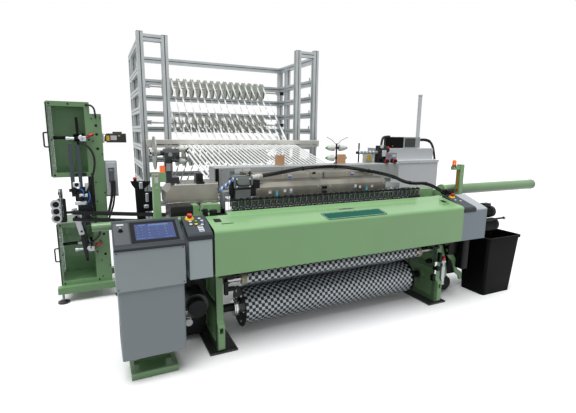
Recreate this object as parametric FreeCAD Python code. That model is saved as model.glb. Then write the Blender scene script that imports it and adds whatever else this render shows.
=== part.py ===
import FreeCAD, Part

import math
import os

V = FreeCAD.Vector

# A rapier loom that weaves flat tapes into a chequered cloth.  Millimetres.
# X runs along the cloth's width, Y from the weaver's side to the back, Z up.
# The shapes are laid out from the loom's centre plane (X), the face of its front
# cover (Y) and the floor (Z); the last lines move them to the middle of the base.

# ---- driving dimensions: warp and cloth ----
tape_count = 64                # tapes across the cloth
tape_pitch = 26.25             # from one tape to the next
tape_width = 22.0
tape_thick = 1.0
cloth_thick = 1.6
cloth_width = tape_count * tape_pitch
cloth_margin = 2.0             # the cloth strip's edge inside the roll's flanges
fell_y = 322.0                 # where the cloth begins
fell_z = 1010.0

# ---- side frames, their feet and the beams between them ----
frame_margin = 230.0           # from the cloth's edge to the middle of a side frame
frame_x = cloth_width / 2 + frame_margin
frame_thick = 50.0
frame_inner = frame_x - frame_thick / 2
frame_outer = frame_x + frame_thick / 2
frame_front = 137.0
frame_back = 1480.0
frame_top = 1000.0
pocket_depth = 14.0
plate_thick = 15.0             # floor plates
plate_width = 210.0
breast_front = 60.0
breast_back = 240.0
breast_bottom = 880.0
tie_size = 110.0
front_tie_y = 632.0
front_tie_z = 330.0
rear_tie_y = 1270.0
rear_tie_z = 530.0
lever_x = frame_outer + 85.0
lever_y = 352.0
lever_z = 600.0
lever_pin_r = 20.0
back_rest_y = 1350.0
back_rest_z = 1050.0
back_rest_r = 50.0

# ---- front cover: one folded sheet ----
cover_overhang = 73.0          # past the middle of a side frame
cover_half = frame_x + cover_overhang
cover_bottom = 650.0
cover_edge = 940.0             # top of its upright face
cover_crest = 28.0             # radius of its crest
cover_bend_y = 215.0
cover_bend_z = 1003.0
cover_back_y = 290.0
cover_back_z = 1025.0
cover_sheet = 3.0
cover_lip = 32.0

# ---- panels at both ends of the cover, and the standing console ----
panel_gap = 17.0               # from the cover to the button panel
panel_width = 150.0
panel_right = -cover_half - panel_gap
panel_left = panel_right - panel_width
panel_depth = 240.0
panel_bottom = 652.0
panel_body_top = 912.0
panel_slab_front = 952.0
panel_slab_back = 1030.0
cabinet_width = 302.0
cabinet_left = cover_half
cabinet_right = cabinet_left + cabinet_width
cabinet_depth = 272.0
cabinet_back = 1036.0
cabinet_split = cabinet_left + 150.0    # dark slab on the left of it, pale lid on the right
console_gap = 30.0             # from the button panel to the console
console_width = 410.0
console_right = panel_left - console_gap
console_left = console_right - console_width
console_front = -20.0
console_back = 240.0
console_bottom = 186.0
console_seam = 645.0
console_top = 895.0
console_slope_z = 1028.0
console_slope_y = 196.0
console_corner = 7.0           # edge rounding of the desk
screen_left = console_left + 102.0
screen_right = console_right - 24.0
screen_sunk = 4.0
base_left = console_left + 56.0
base_right = console_right - 57.0
base_front = 52.0
base_back = 470.0
base_height = 45.0

# ---- stop buttons on the two desks ----
button_left = (panel_right - 104.0, 194.0)
button_right = (cabinet_left + 69.0, 214.0)
button_cap_r = 17.0
button_stem_r = 9.0
button_clear = 0.05
button_depth = 18.0            # of the stem's bore in the desk
button_sunk = 13.0             # of the stem in that bore, so it can be pressed
button_under = 19.0            # from the desk to the cap's underside
button_top = 34.0
collar_r = 26.0
collar_height = 9.0

# ---- shed: sley, healds, rapiers ----
sley_pivot_y = 520.0
sley_pivot_z = 430.0
sley_shaft_r = 30.0
sley_clear = 0.05
sley_gap = 119.0               # from a side frame to the sley's end
sley_half = frame_inner - sley_gap
sword_width = 30.0
sword_depth = 56.0
reed_y = 340.0
reed_depth = 12.0
reed_bottom = 972.0
reed_top = 1104.0
reed_bar = 14.0
dent_thick = 2.6
dent_pitch = 2 * tape_pitch
heald_boss = 133.0             # length of the guide boss between frame and heald shaft
heald_half = frame_inner - heald_boss
heald_rail = 40.0
heald_bottom = 640.0
heald_top = 1125.0
heald_depth = 30.0
heald_front_y = 620.0
heald_gap = 50.0               # from one shaft to the next
heald_wire = 3.0
groove_clear = 0.4
rapier_y = 439.0
rapier_z = 1045.0
rapier_depth = 30.0
rapier_height = 20.0
rapier_clear = 0.4
rapier_tip_x = frame_x - 65.0
rapier_left_end = -frame_x - 275.0
rapier_right_end = frame_x + 1630.0
tube_right_r = 52.5
tube_right_z = rapier_z + 5.0
tube_right_start = frame_outer + 235.0
tube_right_end = rapier_right_end + 24.0
tube_wall = 2.5
tube_left_r = 27.0
tube_left_end = -frame_x - 792.0
tube_left_y = 290.0
tube_left_z = 989.0

# ---- rollers ----
roller_half = cloth_width / 2 + 22.0
take_up_y = 230.0
take_up_z = 760.0
take_up_r = 75.0
take_up_journal = 25.0
guide_y = 250.0
guide_z = 515.0
guide_r = 49.0
guide_journal = 20.0
roll_y = 400.0
roll_z = 222.0
roll_r = 148.0
roll_core_r = 60.0
roll_journal = 32.0
flange_r = 162.0
flange_thick = 8.0
bearing_clear = 0.05
bearing_depth = 30.0
skin_gap = 0.4                 # soft cloth to a roller it rests on

# ---- superstructure ----
beam_left = -frame_x + 190.0
beam_right = frame_x + 110.0
beam_front = 940.0
beam_depth = 200.0
beam_bottom = 1122.0
beam_top = 1288.0
guard_y = 540.0
guard_bottom = 1061.0
guard_step_z = 1192.0
guard_top = 1250.0
guard_sheet = 3.0
guard_left = -frame_x + 420.0
guard_right = frame_x - 390.0
guard_post = 60.0
post_x = frame_x + 380.0
post_y = 350.0
post_width = 50.0
post_depth = 55.0
post_top = 1312.0
arm_bottom = 930.0
arm_height = 30.0
hood_left = -frame_x - 286.0
hood_right = -frame_x + 106.0
hood_bottom = 1060.0
hood_top = 1210.0
hood_front = 540.0
hood_back = 800.0
spool_y = 665.0
spool_z = 1436.0
spool_axle_r = 9.0
cone_stand_x = 450.0
rear_left = 1570.0             # control cabinet behind the loom
rear_front = 1600.0
rear_width = 880.0
rear_depth = 460.0
rear_split = 1224.0
rear_top = 1410.0
bin_x = 1831.0                 # waste bin: middle, front and height
bin_front = 60.0
bin_height = 604.0
lamp_reach = 40.0

# ---- tape tower at the left ----
tower_width = 334.0
tower_right = -frame_x - 768.0
tower_left = tower_right - tower_width
tower_front = 1630.0
tower_depth = 420.0
tower_wall = 4.0
tower_border = 42.0
box_top = 1845.0
door_inset = 8.0
knuckle = 26.0
upper_box_bottom = 1175.0
lower_box_top = 752.0
lower_box_bottom = 150.0
column_right = tower_right + 94.0
column_top = 1744.0
rail_right = tower_right + 198.0
stand_x = -frame_x - 396.0
stand_y = 1290.0
channel_z = 846.0              # underside of the upper tape channel
rail_height = 62.0
rail_bottom = 88.0
tower_reel_r = 212.0
upper_spindle_z = 1524.0
lower_spindle_z = 500.0
spindle_y = tower_front + 220.0

# ---- creel behind the loom ----
profile = 80.0                 # slotted aluminium profile
slot_width = 12.0
slot_depth = 9.0
creel_margin = 436.0           # from the cloth's edge to the outside of the posts
creel_half = cloth_width / 2 + creel_margin
inner_post_x = creel_half - 332.0
creel_front = 2940.0
creel_back = 4280.0
creel_top = 2790.0
rail_top_z = creel_top - 122.0
rail_first_drop = 325.0
rail_pitch = 240.0
rail_count = 11
shaft_y = 3940.0
shaft_r = 12.5
shaft_half = creel_half - 234.0
row_count = 4
row_top_z = rail_top_z - 417.0
row_pitch = 530.0
reels_per_row = tape_count // row_count
reel_r = 137.0
reel_core_r = 104.0
reel_flange = 3.5
guide_bar_y = 2825.0
guide_bar_z = 1426.0
guide_bar_half = creel_half - 40.0

parts = {}


# ---------------------------------------------------------------- helpers


def block(x0, x1, y0, y1, z0, z1):
    """A box between two corners."""
    return Part.makeBox(x1 - x0, y1 - y0, z1 - z0, V(x0, y0, z0))


def rod_x(x0, x1, y, z, r):
    """A round bar along X."""
    return Part.makeCylinder(r, x1 - x0, V(x0, y, z), V(1, 0, 0))


def rod_y(x, y0, y1, z, r):
    """A round bar along Y."""
    return Part.makeCylinder(r, y1 - y0, V(x, y0, z), V(0, 1, 0))


def rod_z(x, y, z0, z1, r):
    """An upright round bar."""
    return Part.makeCylinder(r, z1 - z0, V(x, y, z0), V(0, 0, 1))


def cone_x(x0, x1, y, z, r0, r1):
    """A tapered round along X, from radius r0 to r1."""
    return Part.makeCone(r0, r1, x1 - x0, V(x0, y, z), V(1, 0, 0))


def union(*shapes):
    """Shapes that touch or overlap, as one solid."""
    return shapes[0].multiFuse(list(shapes[1:])).removeSplitter()


def group(*shapes):
    """Solids that stay separate."""
    return Part.makeCompound(list(shapes))


def rounded_wire(points, radius):
    """A closed outline through points, each corner turned by an arc of the radius.

    points are vectors in one plane.  An arc never takes more than 0.45 of a side.
    """
    count = len(points)
    starts = []
    ends = []
    for i, point in enumerate(points):
        before = points[i - 1] - point
        after = points[(i + 1) % count] - point
        half_turn = (math.pi - before.getAngle(after)) / 2
        reach = min(radius * math.tan(half_turn), 0.45 * before.Length, 0.45 * after.Length)
        starts.append(point + before.normalize() * reach)
        ends.append(point + after.normalize() * reach)
    edges = []
    for i, point in enumerate(points):
        if (starts[i] - ends[i]).Length > 0.01:
            r = (starts[i] - point).Length
            middle = (starts[i] + ends[i]) * 0.5 - point
            half_angle = (starts[i] - point).getAngle(middle)
            centre = point + middle.normalize() * (r / math.cos(half_angle))
            arc_r = r * math.tan(half_angle)
            crown = centre + (point - centre).normalize() * arc_r
            edges.append(Part.Arc(starts[i], crown, ends[i]).toShape())
        following = starts[(i + 1) % count]
        if (following - ends[i]).Length > 0.01:
            edges.append(Part.LineSegment(ends[i], following).toShape())
    return Part.Wire(edges)


def prism_x(outline, x0, x1, radius=0.0):
    """An outline of (y, z) points pulled along X, its corners rounded."""
    points = [V(x0, y, z) for y, z in outline]
    if radius:
        wire = rounded_wire(points, radius)
    else:
        wire = Part.makePolygon(points + points[:1])
    return Part.Face(wire).extrude(V(x1 - x0, 0, 0))


def prism_y(outline, y0, y1, radius=0.0):
    """An outline of (x, z) points pulled along Y, its corners rounded."""
    points = [V(x, y0, z) for x, z in outline]
    if radius:
        wire = rounded_wire(points, radius)
    else:
        wire = Part.makePolygon(points + points[:1])
    return Part.Face(wire).extrude(V(0, y1 - y0, 0))


def prism_z(outline, z0, z1, radius=0.0):
    """An outline of (x, y) points pulled upwards, its corners rounded."""
    points = [V(x, y, z0) for x, y in outline]
    if radius:
        wire = rounded_wire(points, radius)
    else:
        wire = Part.makePolygon(points + points[:1])
    return Part.Face(wire).extrude(V(0, 0, z1 - z0))


def mirrored(shape):
    """The same piece on the other side of the loom."""
    return shape.mirror(V(0, 0, 0), V(1, 0, 0))


def folded_sheet(path, thick, x0, x1):
    """A sheet along X whose section follows (y, z) points; thick is laid to the left."""
    inner = []
    last = len(path) - 1
    for i, (y, z) in enumerate(path):
        y0, z0 = path[max(i - 1, 0)]
        y1, z1 = path[min(i + 1, last)]
        before = V(y - y0, z - z0, 0)
        after = V(y1 - y, z1 - z, 0)
        if i == 0:
            before = V(after)
        if i == last:
            after = V(before)
        before.normalize()
        after.normalize()
        normal = V(-before.y - after.y, before.x + after.x, 0)
        normal.normalize()
        reach = thick / (normal.x * -after.y + normal.y * after.x)
        inner.append((y + normal.x * reach, z + normal.y * reach))
    return prism_x(path + inner[::-1], x0, x1)


def heights(start, first, pitch, count):
    """A list of levels going down: one first step, then equal ones."""
    return [start] + [start - first - pitch * k for k in range(count - 1)]


# ---------------------------------------------------------------- cover and frames


def cover_slope():
    """Rise of the cover's top for each millimetre back from its crest."""
    return (cover_bend_z - cover_edge - cover_crest) / (cover_bend_y - cover_crest)


def cover_height(y):
    """Height of the cover's upper face at a distance y behind its front."""
    if y < cover_bend_y:
        return cover_bend_z - cover_slope() * (cover_bend_y - y)
    rise = (cover_back_z - cover_bend_z) / (cover_back_y - cover_bend_y)
    return cover_bend_z + rise * (y - cover_bend_y)


def front_cover():
    """The long green cover: front face, crowned edge, sloping top and bottom lip."""
    slope = math.atan(cover_slope())
    path = [(cover_lip, cover_bottom), (0, cover_bottom)]
    steps = 6
    for k in range(steps + 1):
        angle = math.pi - k / steps * (math.pi / 2 - slope)
        path.append((cover_crest + cover_crest * math.cos(angle),
                     cover_edge + cover_crest * math.sin(angle)))
    path.append((cover_bend_y, cover_bend_z))
    path.append((cover_back_y, cover_back_z))
    sheet = folded_sheet(path[::-1], cover_sheet, -cover_half, cover_half)
    notch = block(-cover_half - 1, -cover_half + 165, cover_bend_y + 30, 400, 900, 1100)
    sheet = sheet.cut(notch)
    for side in (-1, 1):
        x = side * (cover_half - 118)
        slot = prism_z([(x - 45, 96), (x + 45, 96), (x + 45, 110), (x - 45, 110)], 900, 1100, 6)
        sheet = sheet.cut(slot)
    return sheet


def side_frame():
    """The left cast side frame with its pockets, ribs, foot hole and bearing bores."""
    x0 = -frame_outer
    x1 = -frame_inner
    outline = [
        (frame_front, plate_thick),
        (frame_front, 212),
        (frame_front + 34, 236),
        (frame_front + 43, 640),
        (frame_front + 43, 835),
        (frame_front + 125, 905),
        (frame_front + 125, frame_top),
        (760, frame_top),
        (900, frame_top - 90),
        (1240, frame_top - 90),
        (1290, back_rest_z + 70),
        (1410, back_rest_z + 70),
        (frame_back - 20, 900),
        (frame_back, 240),
        (frame_back, plate_thick),
        (1120, plate_thick),
        (1060, 300),
        (620, 300),
        (560, plate_thick),
    ]
    frame = prism_x(outline, x0, x1, 26)
    pockets = [
        [(210, 60), (520, 60), (560, 330), (210, 330)],
        [(215, 375), (480, 375), (480, 600), (222, 600)],
        [(760, 345), (1075, 345), (1075, 560), (760, 560)],
        [(1130, 60), (1440, 60), (1440, 520), (1110, 520), (1080, 345)],
        [(330, 720), (700, 720), (700, 860), (330, 860)],
        [(760, 620), (1400, 620), (1400, 860), (760, 860)],
    ]
    for pocket in pockets:
        frame = frame.cut(prism_x(pocket, x0 - 1, x0 + pocket_depth, 24))
        frame = frame.cut(prism_x(pocket, x1 - pocket_depth, x1 + 1, 24))
    foot_hole = block(x0 + 12, x1 - 12, frame_front - 1, frame_front + 60, 150, 196)
    window = prism_x([(800, 400), (1035, 400), (1035, 505), (800, 505)], x0 - 1, x1 + 1, 30)
    frame = frame.cut(foot_hole).cut(window)
    boss_y0 = heald_front_y - heald_depth / 2 - 16
    boss_y1 = heald_front_y + heald_gap + heald_depth / 2 + 16
    boss = block(x1, -heald_half + 12, boss_y0, boss_y1, 700, 990)
    for y in (heald_front_y, heald_front_y + heald_gap):
        reach = heald_depth / 2 + groove_clear
        groove = block(-heald_half - groove_clear, -heald_half + 20, y - reach, y + reach, 600, 1100)
        boss = boss.cut(groove)
    frame = union(frame, boss)
    for y, z, r in (
        (take_up_y, take_up_z, take_up_journal),
        (guide_y, guide_z, guide_journal),
        (roll_y, roll_z, roll_journal),
    ):
        collar = rod_x(x1 - pocket_depth - 1, x1 + 12, y, z, r + 22)
        bore = rod_x(x1 - bearing_depth, x1 + 20, y, z, r + bearing_clear)
        frame = union(frame, collar).cut(bore)
    return frame


def frame_with_plates():
    """The left side frame and, as separate solids, the black plates under its feet."""
    x = -frame_x + 16
    plates = []
    for y0, y1 in ((frame_front - 5, 600), (1080, frame_back + 30)):
        plates.append(block(x - plate_width / 2, x + plate_width / 2, y0, y1, 0, plate_thick))
    return group(side_frame(), *plates)


def cross_beams():
    """Breast beam, two tie beams, the sley shaft and the back rest."""
    half = frame_inner
    sheet = cover_sheet * 1.045
    section = [
        (breast_front, breast_bottom),
        (breast_back, breast_bottom),
        (breast_back, cover_height(breast_back) - sheet),
        (cover_bend_y, cover_bend_z - sheet),
        (breast_front, cover_height(breast_front) - sheet),
    ]
    breast = [prism_x(section, -half, half)]
    for side in (-1, 1):
        inner = sley_half + 18
        x0, x1 = sorted((side * inner, side * half))
        breast.append(block(x0, x1, breast_back, 420, breast_bottom, 985))
    front_tie = prism_x(
        [(front_tie_y, front_tie_z), (front_tie_y + tie_size, front_tie_z),
         (front_tie_y + tie_size, front_tie_z + tie_size), (front_tie_y, front_tie_z + tie_size)],
        -half, half, 12)
    rear_tie = prism_x(
        [(rear_tie_y, rear_tie_z), (rear_tie_y + tie_size, rear_tie_z),
         (rear_tie_y + tie_size, rear_tie_z + tie_size), (rear_tie_y, rear_tie_z + tie_size)],
        -half, half, 12)
    sley_shaft = rod_x(-half, half, sley_pivot_y, sley_pivot_z, sley_shaft_r)
    back_rest = rod_x(-half, half, back_rest_y, back_rest_z, back_rest_r)
    return group(*breast, front_tie, rear_tie, sley_shaft, back_rest)


# ---------------------------------------------------------------- panels and console


def button_panel():
    """Grey box at the cover's left end, with its holding plate and console tie."""
    rise = (panel_slab_back - 50 - panel_body_top) / (panel_depth - 30)
    outline = [
        (0, panel_bottom),
        (0, panel_body_top),
        (30, panel_body_top),
        (panel_depth, panel_body_top + rise * (panel_depth - 30)),
        (panel_depth, panel_bottom),
    ]
    box = prism_x(outline, panel_left, panel_right, 3)
    plate_x1 = -frame_inner
    plate = block(panel_left + 20, plate_x1, panel_depth, frame_front + 125, 935, 955)
    tie = block(console_right, panel_left, 150, 205, 690, 730)
    return union(box, plate, tie)


def slab(x0, x1, depth, back_z, overhang):
    """A dark moulded desk top that slopes up to the back, with a rounded nose."""
    rise = (panel_slab_back - 50 - panel_body_top) / (panel_depth - 30)
    outline = [
        (-overhang, panel_body_top),
        (30, panel_body_top),
        (depth, panel_body_top + rise * (depth - 30)),
        (depth, back_z),
        (14, panel_slab_front + 6),
        (-overhang, panel_slab_front - 8),
    ]
    return prism_x(outline, x0, x1, 9)


def button_panel_top():
    """Dark desk of the button panel with the collar of its stop button."""
    desk = slab(panel_left - 4, panel_right + 4, panel_depth, panel_slab_back, 6)
    return desk_with_collar(desk, button_left, panel_depth, panel_slab_back)


def right_cabinet():
    """Pale grey cabinet at the cover's right end."""
    rise = (panel_slab_back - 50 - panel_body_top) / (panel_depth - 30)
    back_z = panel_body_top + rise * (cabinet_depth - 30)
    outline = [
        (0, panel_bottom - 4),
        (0, panel_body_top),
        (30, panel_body_top),
        (cabinet_depth, back_z),
        (cabinet_depth, panel_bottom - 4),
    ]
    box = prism_x(outline, cabinet_left, cabinet_right, 3)
    plate_x0 = frame_inner
    plate = block(plate_x0, cabinet_left, frame_front + 125 - 22, frame_front + 125, 935, 985)
    end = V(*hose_points[-1])
    down = (end - V(*hose_points[-2])).normalize()
    gland = Part.makeCylinder(hose_r + 3, 66, end + down * 0.3, down)
    return union(box, plate, gland)


def right_cabinet_top():
    """Dark slab with the stop button, and the pale lid beside it."""
    dark = slab(cabinet_left + 3, cabinet_split, cabinet_depth, cabinet_back, 6)
    dark = desk_with_collar(dark, button_right, cabinet_depth, cabinet_back)
    rise = (panel_slab_back - 50 - panel_body_top) / (panel_depth - 30)
    low = panel_body_top + rise * (cabinet_depth - 30)
    lid = prism_x(
        [(0, panel_body_top), (30, panel_body_top), (cabinet_depth, low),
         (cabinet_depth, low + 40), (30, panel_body_top + 34), (0, panel_body_top + 20)],
        cabinet_split, cabinet_right, 5)
    return group(dark, lid)


def console_body():
    """Standing terminal: an upper cover that overlaps a narrower lower case."""
    inset = 8
    lower = prism_z(
        [(console_left + inset, console_front + inset), (console_right - inset, console_front + inset),
         (console_right - inset, console_back), (console_left + inset, console_back)],
        console_bottom, console_seam, 14)
    upper = prism_x(
        [(console_front, console_seam), (console_front, console_top),
         (console_front + 40, console_top),
         (console_back, console_slope_z - 40), (console_back, console_seam)],
        console_left, console_right)
    return union(lower, upper).cut(console_desk_block())


def console_desk_block():
    """The console's desk before its window is sunk."""
    outline = [
        (console_front - 6, console_top),
        (console_front + 40, console_top),
        (console_back, console_slope_z - 40),
        (console_back, console_slope_z - 22),
        (console_slope_y + 16, console_slope_z + 4),
        (console_slope_y, console_slope_z + 4),
        (console_front + 6, console_top + 30),
        (console_front - 6, console_top + 16),
    ]
    return prism_x(outline, console_left, console_right, console_corner)


def console_top_slab():
    """Dark sloping desk of the console with a sunk window for the screen."""
    slab_solid = console_desk_block()
    run = V(0, console_slope_y - console_front - 6, console_slope_z + 4 - console_top - 30)
    normal = V(0, -run.z, run.y).normalize()
    start = V(0, console_front + 6, console_top + 30)
    low = start + run * 0.07
    high = start + run * 0.93
    sunk = [low + normal * 5, high + normal * 5, high - normal * screen_sunk, low - normal * screen_sunk]
    window = prism_x([(p.y, p.z) for p in sunk], screen_left, screen_right)
    key_field = start + run * 0.6
    socket = Part.makeCylinder(8, 14, V(-1702, key_field.y, key_field.z) - normal * 8, normal)
    return slab_solid.cut(window).cut(socket)


def console_base():
    """Green floor plate with a sunk top, and the pedestal behind the console."""
    plate = prism_x(
        [(base_front, 0), (base_front, base_height - 14), (base_front + 14, base_height),
         (base_back, base_height), (base_back, 0)], base_left, base_right, 12)
    sunk = prism_z(
        [(base_left + 26, base_front + 60), (base_right - 26, base_front + 60),
         (base_right - 26, console_back - 20), (base_left + 26, console_back - 20)],
        base_height - 16, base_height + 1, 12)
    column = block(base_left + 60, base_right - 60, console_back, console_back + 90,
                   base_height - 1, 760)
    web = prism_x(
        [(console_back + 89, base_height - 1), (base_back - 20, base_height - 1),
         (console_back + 89, 420)], base_left + 140, base_left + 152)
    return union(plate.cut(sunk), column, web)


def light_posts():
    """Two green posts, each on an arm from its side frame, with lamp brackets."""
    half = frame_outer
    y0 = post_y - post_depth / 2
    y1 = post_y + post_depth / 2
    x0 = -post_x - post_width / 2
    x1 = x0 + post_width
    post = prism_z([(x0, y0), (x1, y0), (x1, y1), (x0, y1)], arm_bottom, post_top, 5)
    arm = block(x0 + 1, -half, y0 + 6, y1 - 6, arm_bottom, arm_bottom + arm_height)
    gusset = prism_y(
        [(x1 - 1, arm_bottom + arm_height - 1), (x1 + 70, arm_bottom + arm_height - 1),
         (x1 - 1, arm_bottom + arm_height + 60)], post_y - 4, post_y + 4)
    groove = block(x1 - 6, x1 + 1, post_y - 16, post_y + 16, arm_bottom + 110, post_top - 16)
    plain = union(post, arm, gusset).cut(groove)
    left = union(plain, block(x1 - 1, x1 + lamp_reach, y0 + 4, y1 - 4, post_top - 56, post_top + 10))
    right = union(mirrored(plain), block(post_x - 112, -x1 + 1, y0 + 8, y1 - 8, post_top - 50, post_top - 16))
    return group(left, right)


def signal_lamps():
    """Square lamp on the left post's bracket and round lamp on the right one."""
    x0 = -post_x + post_width / 2 + 2
    left = prism_z([(x0, post_y - 20), (x0 + 36, post_y - 20), (x0 + 36, post_y + 20), (x0, post_y + 20)],
                   post_top + 10, post_top + 56, 5)
    x = post_x - 100 + 10
    foot = rod_z(x, post_y, post_top - 16, post_top + 6, 19)
    lens = union(rod_z(x, post_y, post_top + 6, post_top + 30, 19),
                 Part.makeSphere(19, V(x, post_y, post_top + 30)))
    return group(left, union(foot, lens))


# ---------------------------------------------------------------- shed


def sley():
    """The part that rocks on the sley shaft: race beam on two swords, and the reed on it."""
    y0 = reed_y - reed_depth / 2
    y1 = reed_y + reed_depth / 2
    beam_y0 = y0 - 4
    beam = prism_x(
        [(beam_y0, 900), (beam_y0 + 60, 900), (beam_y0 + 60, reed_bottom - 14),
         (y1 + 4, reed_bottom), (beam_y0, reed_bottom)],
        -sley_half, sley_half)
    swords = [beam]
    head_y = beam_y0 + 30
    for side in (-1, 1):
        x0, x1 = sorted((side * sley_half, side * (sley_half - sword_width)))
        sword = prism_x(
            [(sley_pivot_y - sword_depth / 2, sley_pivot_z), (sley_pivot_y + sword_depth / 2, sley_pivot_z),
             (head_y + 24, 915), (head_y - 24, 915)], x0, x1)
        hub = rod_x(x0, x1, sley_pivot_y, sley_pivot_z, sley_shaft_r + 24)
        bore = rod_x(x0 - 1, x1 + 1, sley_pivot_y, sley_pivot_z, sley_shaft_r + sley_clear)
        swords.append(union(sword, hub).cut(bore))
    dents = int(cloth_width / dent_pitch) + 3
    half = dents * dent_pitch / 2
    end = half + dent_thick / 2
    reed = [block(-end, end, y0, y1, reed_bottom, reed_bottom + reed_bar),
            block(-end, end, y0, y1, reed_top - reed_bar, reed_top)]
    for k in range(dents + 1):
        x = -half + k * dent_pitch
        reed.append(block(x - dent_thick / 2, x + dent_thick / 2, y0, y1,
                          reed_bottom + reed_bar - 1, reed_top - reed_bar + 1))
    for k in range(dents):
        x = -half + (k + 0.5) * dent_pitch
        reed.append(rod_x(x - 17, x + 17, reed_y - 2, reed_top - 3, 7))
    return group(union(*swords), union(*reed))


def heald_shaft(y):
    """A heald frame: rails and end posts, with a heald wire between tape pairs."""
    y0 = y - heald_depth / 2
    y1 = y + heald_depth / 2
    frame = [
        block(-heald_half, heald_half, y0, y1, heald_bottom, heald_bottom + heald_rail),
        block(-heald_half, heald_half, y0, y1, heald_top - heald_rail, heald_top),
    ]
    for side in (-1, 1):
        x0, x1 = sorted((side * heald_half, side * (heald_half - 24)))
        frame.append(block(x0, x1, y0, y1, heald_bottom + heald_rail, heald_top - heald_rail))
    wires = []
    for k in range(int(round(cloth_width / dent_pitch)) + 1):
        x = -cloth_width / 2 + k * dent_pitch
        wires.append(block(x - heald_wire / 2, x + heald_wire / 2, y - 1, y + 1,
                           heald_bottom + heald_rail, heald_top - heald_rail))
    return group(*frame, *wires)


def rapier(tip, end):
    """A rapier rod from its outer end to a tapered gripper head at the tip."""
    side = 1 if tip > 0 else -1
    neck = tip + side * 70
    x0, x1 = sorted((neck, end))
    y0 = rapier_y - rapier_depth / 2
    z0 = rapier_z - rapier_height / 2
    bar = block(x0, x1, y0, y0 + rapier_depth, z0, z0 + rapier_height)
    head = prism_z(
        [(neck, y0), (neck, y0 + rapier_depth), (tip + side * 12, y0 + rapier_depth - 4),
         (tip, y0 + rapier_depth - 11), (tip, y0 + 7), (tip + side * 26, y0)],
        z0, z0 + rapier_height - 3)
    return union(bar, head)


def rapier_channel(x0, x1):
    """The running space for a rapier rod in its guide."""
    depth = rapier_depth / 2 + rapier_clear
    height = rapier_height / 2 + rapier_clear
    return block(x0, x1, rapier_y - depth, rapier_y + depth, rapier_z - height, rapier_z + height)


def drive_housing_left():
    """Left rapier guide on the side frame, gear case outside it, and main motor."""
    x = -frame_outer
    guide = prism_y([(x - 95, 972), (x - 55, 1006), (x - 19, 1068), (x + 107, 1064), (x + 107, frame_top),
                     (x, frame_top), (x, 972)], rapier_y - 38, rapier_y + 38)
    case = prism_y([(x - 235, 230), (x - 235, 1040), (x - 105, hood_bottom), (x, hood_bottom), (x, 150)],
                   rapier_y + 70, hood_back, 18)
    channel_box = block(x - 257, x - 55, rapier_y - 34, rapier_y + 71, 985, 1066)
    motor = union(rod_y(x - 117, 300, rapier_y + 71, 330, 92), rod_y(x - 117, 262, 301, 330, 62))
    return union(guide, case, channel_box, motor).cut(rapier_channel(x - 256, x + 195))


def drive_housing_right():
    """Right rapier guide with the flange that holds the guard tube, and a gear case."""
    x = frame_outer
    guide = prism_y([(x - 161, frame_top), (x - 161, 1074), (x - 139, 1084), (x + 43, 1084), (x + 43, 940),
                     (x, 940), (x, frame_top)], rapier_y - 56, rapier_y + 56)
    neck = block(x + 42, x + 205, rapier_y - 22, rapier_y + 40, 1000, 1062)
    flange = rod_x(x + 204, tube_right_start, rapier_y, tube_right_z, tube_right_r + 6)
    case = prism_y([(x, 150), (x, 1040), (x + 135, 1040), (x + 135, 240)],
                   rapier_y + 180, hood_back, 18)
    return group(union(guide, neck, flange).cut(rapier_channel(x - 195, tube_right_start + 1)), case)


def guard_tube_right():
    """Long green tube over the right rapier, closed by a cap at its end."""
    seam = tube_right_end - 40
    tube = rod_x(tube_right_start, seam, rapier_y, tube_right_z, tube_right_r)
    cap = rod_x(seam, tube_right_end, rapier_y, tube_right_z, tube_right_r + 1.5)
    end_edges = [e for e in cap.Edges if len(e.Vertexes) == 1 and e.CenterOfMass.x > tube_right_end - 1]
    cap = cap.makeFillet(6, end_edges)
    inside = rod_x(tube_right_start - 1, tube_right_end - 6, rapier_y, tube_right_z, tube_right_r - tube_wall)
    return union(tube, cap).cut(inside)


def guard_tube_left():
    """Slimmer green tube that runs out to the left from the side frame."""
    end = -frame_outer
    tube = rod_x(tube_left_end, end, tube_left_y, tube_left_z, tube_left_r)
    inside = rod_x(tube_left_end + 8, end - 20, tube_left_y, tube_left_z, tube_left_r - tube_wall)
    return tube.cut(inside)


# ---------------------------------------------------------------- rollers and cloth


def roller(y, z, r, half, journal):
    """A roller with a journal that runs in the bearing bore of each side frame."""
    end = frame_inner + bearing_depth - 1
    body = rod_x(-half, half, y, z, r)
    shaft = rod_x(-end, end, y, z, journal)
    return union(body, shaft)


def cloth_beam():
    """Core of the cloth roll with its flanges, hubs and journals."""
    half = cloth_width / 2
    solids = [roller(roll_y, roll_z, roll_core_r, half + 1, roll_journal)]
    for side in (-1, 1):
        x0, x1 = sorted((side * (half + 1), side * (half + 1 + flange_thick)))
        solids.append(rod_x(x0, x1, roll_y, roll_z, flange_r))
        x0, x1 = sorted((side * (half + flange_thick), side * (half + 62)))
        solids.append(rod_x(x0, x1, roll_y, roll_z, roll_journal + 34))
    return union(*solids)


def wound_cloth():
    """Cloth wound on the core."""
    half = cloth_width / 2
    return rod_x(-half, half, roll_y, roll_z, roll_r).cut(
        rod_x(-half - 1, half + 1, roll_y, roll_z, roll_core_r))


def crossing_tangent(first, r_first, second, r_second, side):
    """The inner tangent line of two circles, as the (y, z) points where it touches them.

    Going down, it leaves the first circle behind (side 1) or before it (side -1).
    """
    dy = second[0] - first[0]
    dz = second[1] - first[1]
    swing = math.acos((r_first + r_second) / math.hypot(dy, dz))
    angle = math.atan2(dz, dy) + side * swing
    a = (first[0] + r_first * math.cos(angle), first[1] + r_first * math.sin(angle))
    b = (second[0] - r_second * math.cos(angle), second[1] - r_second * math.sin(angle))
    return a, b


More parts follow.
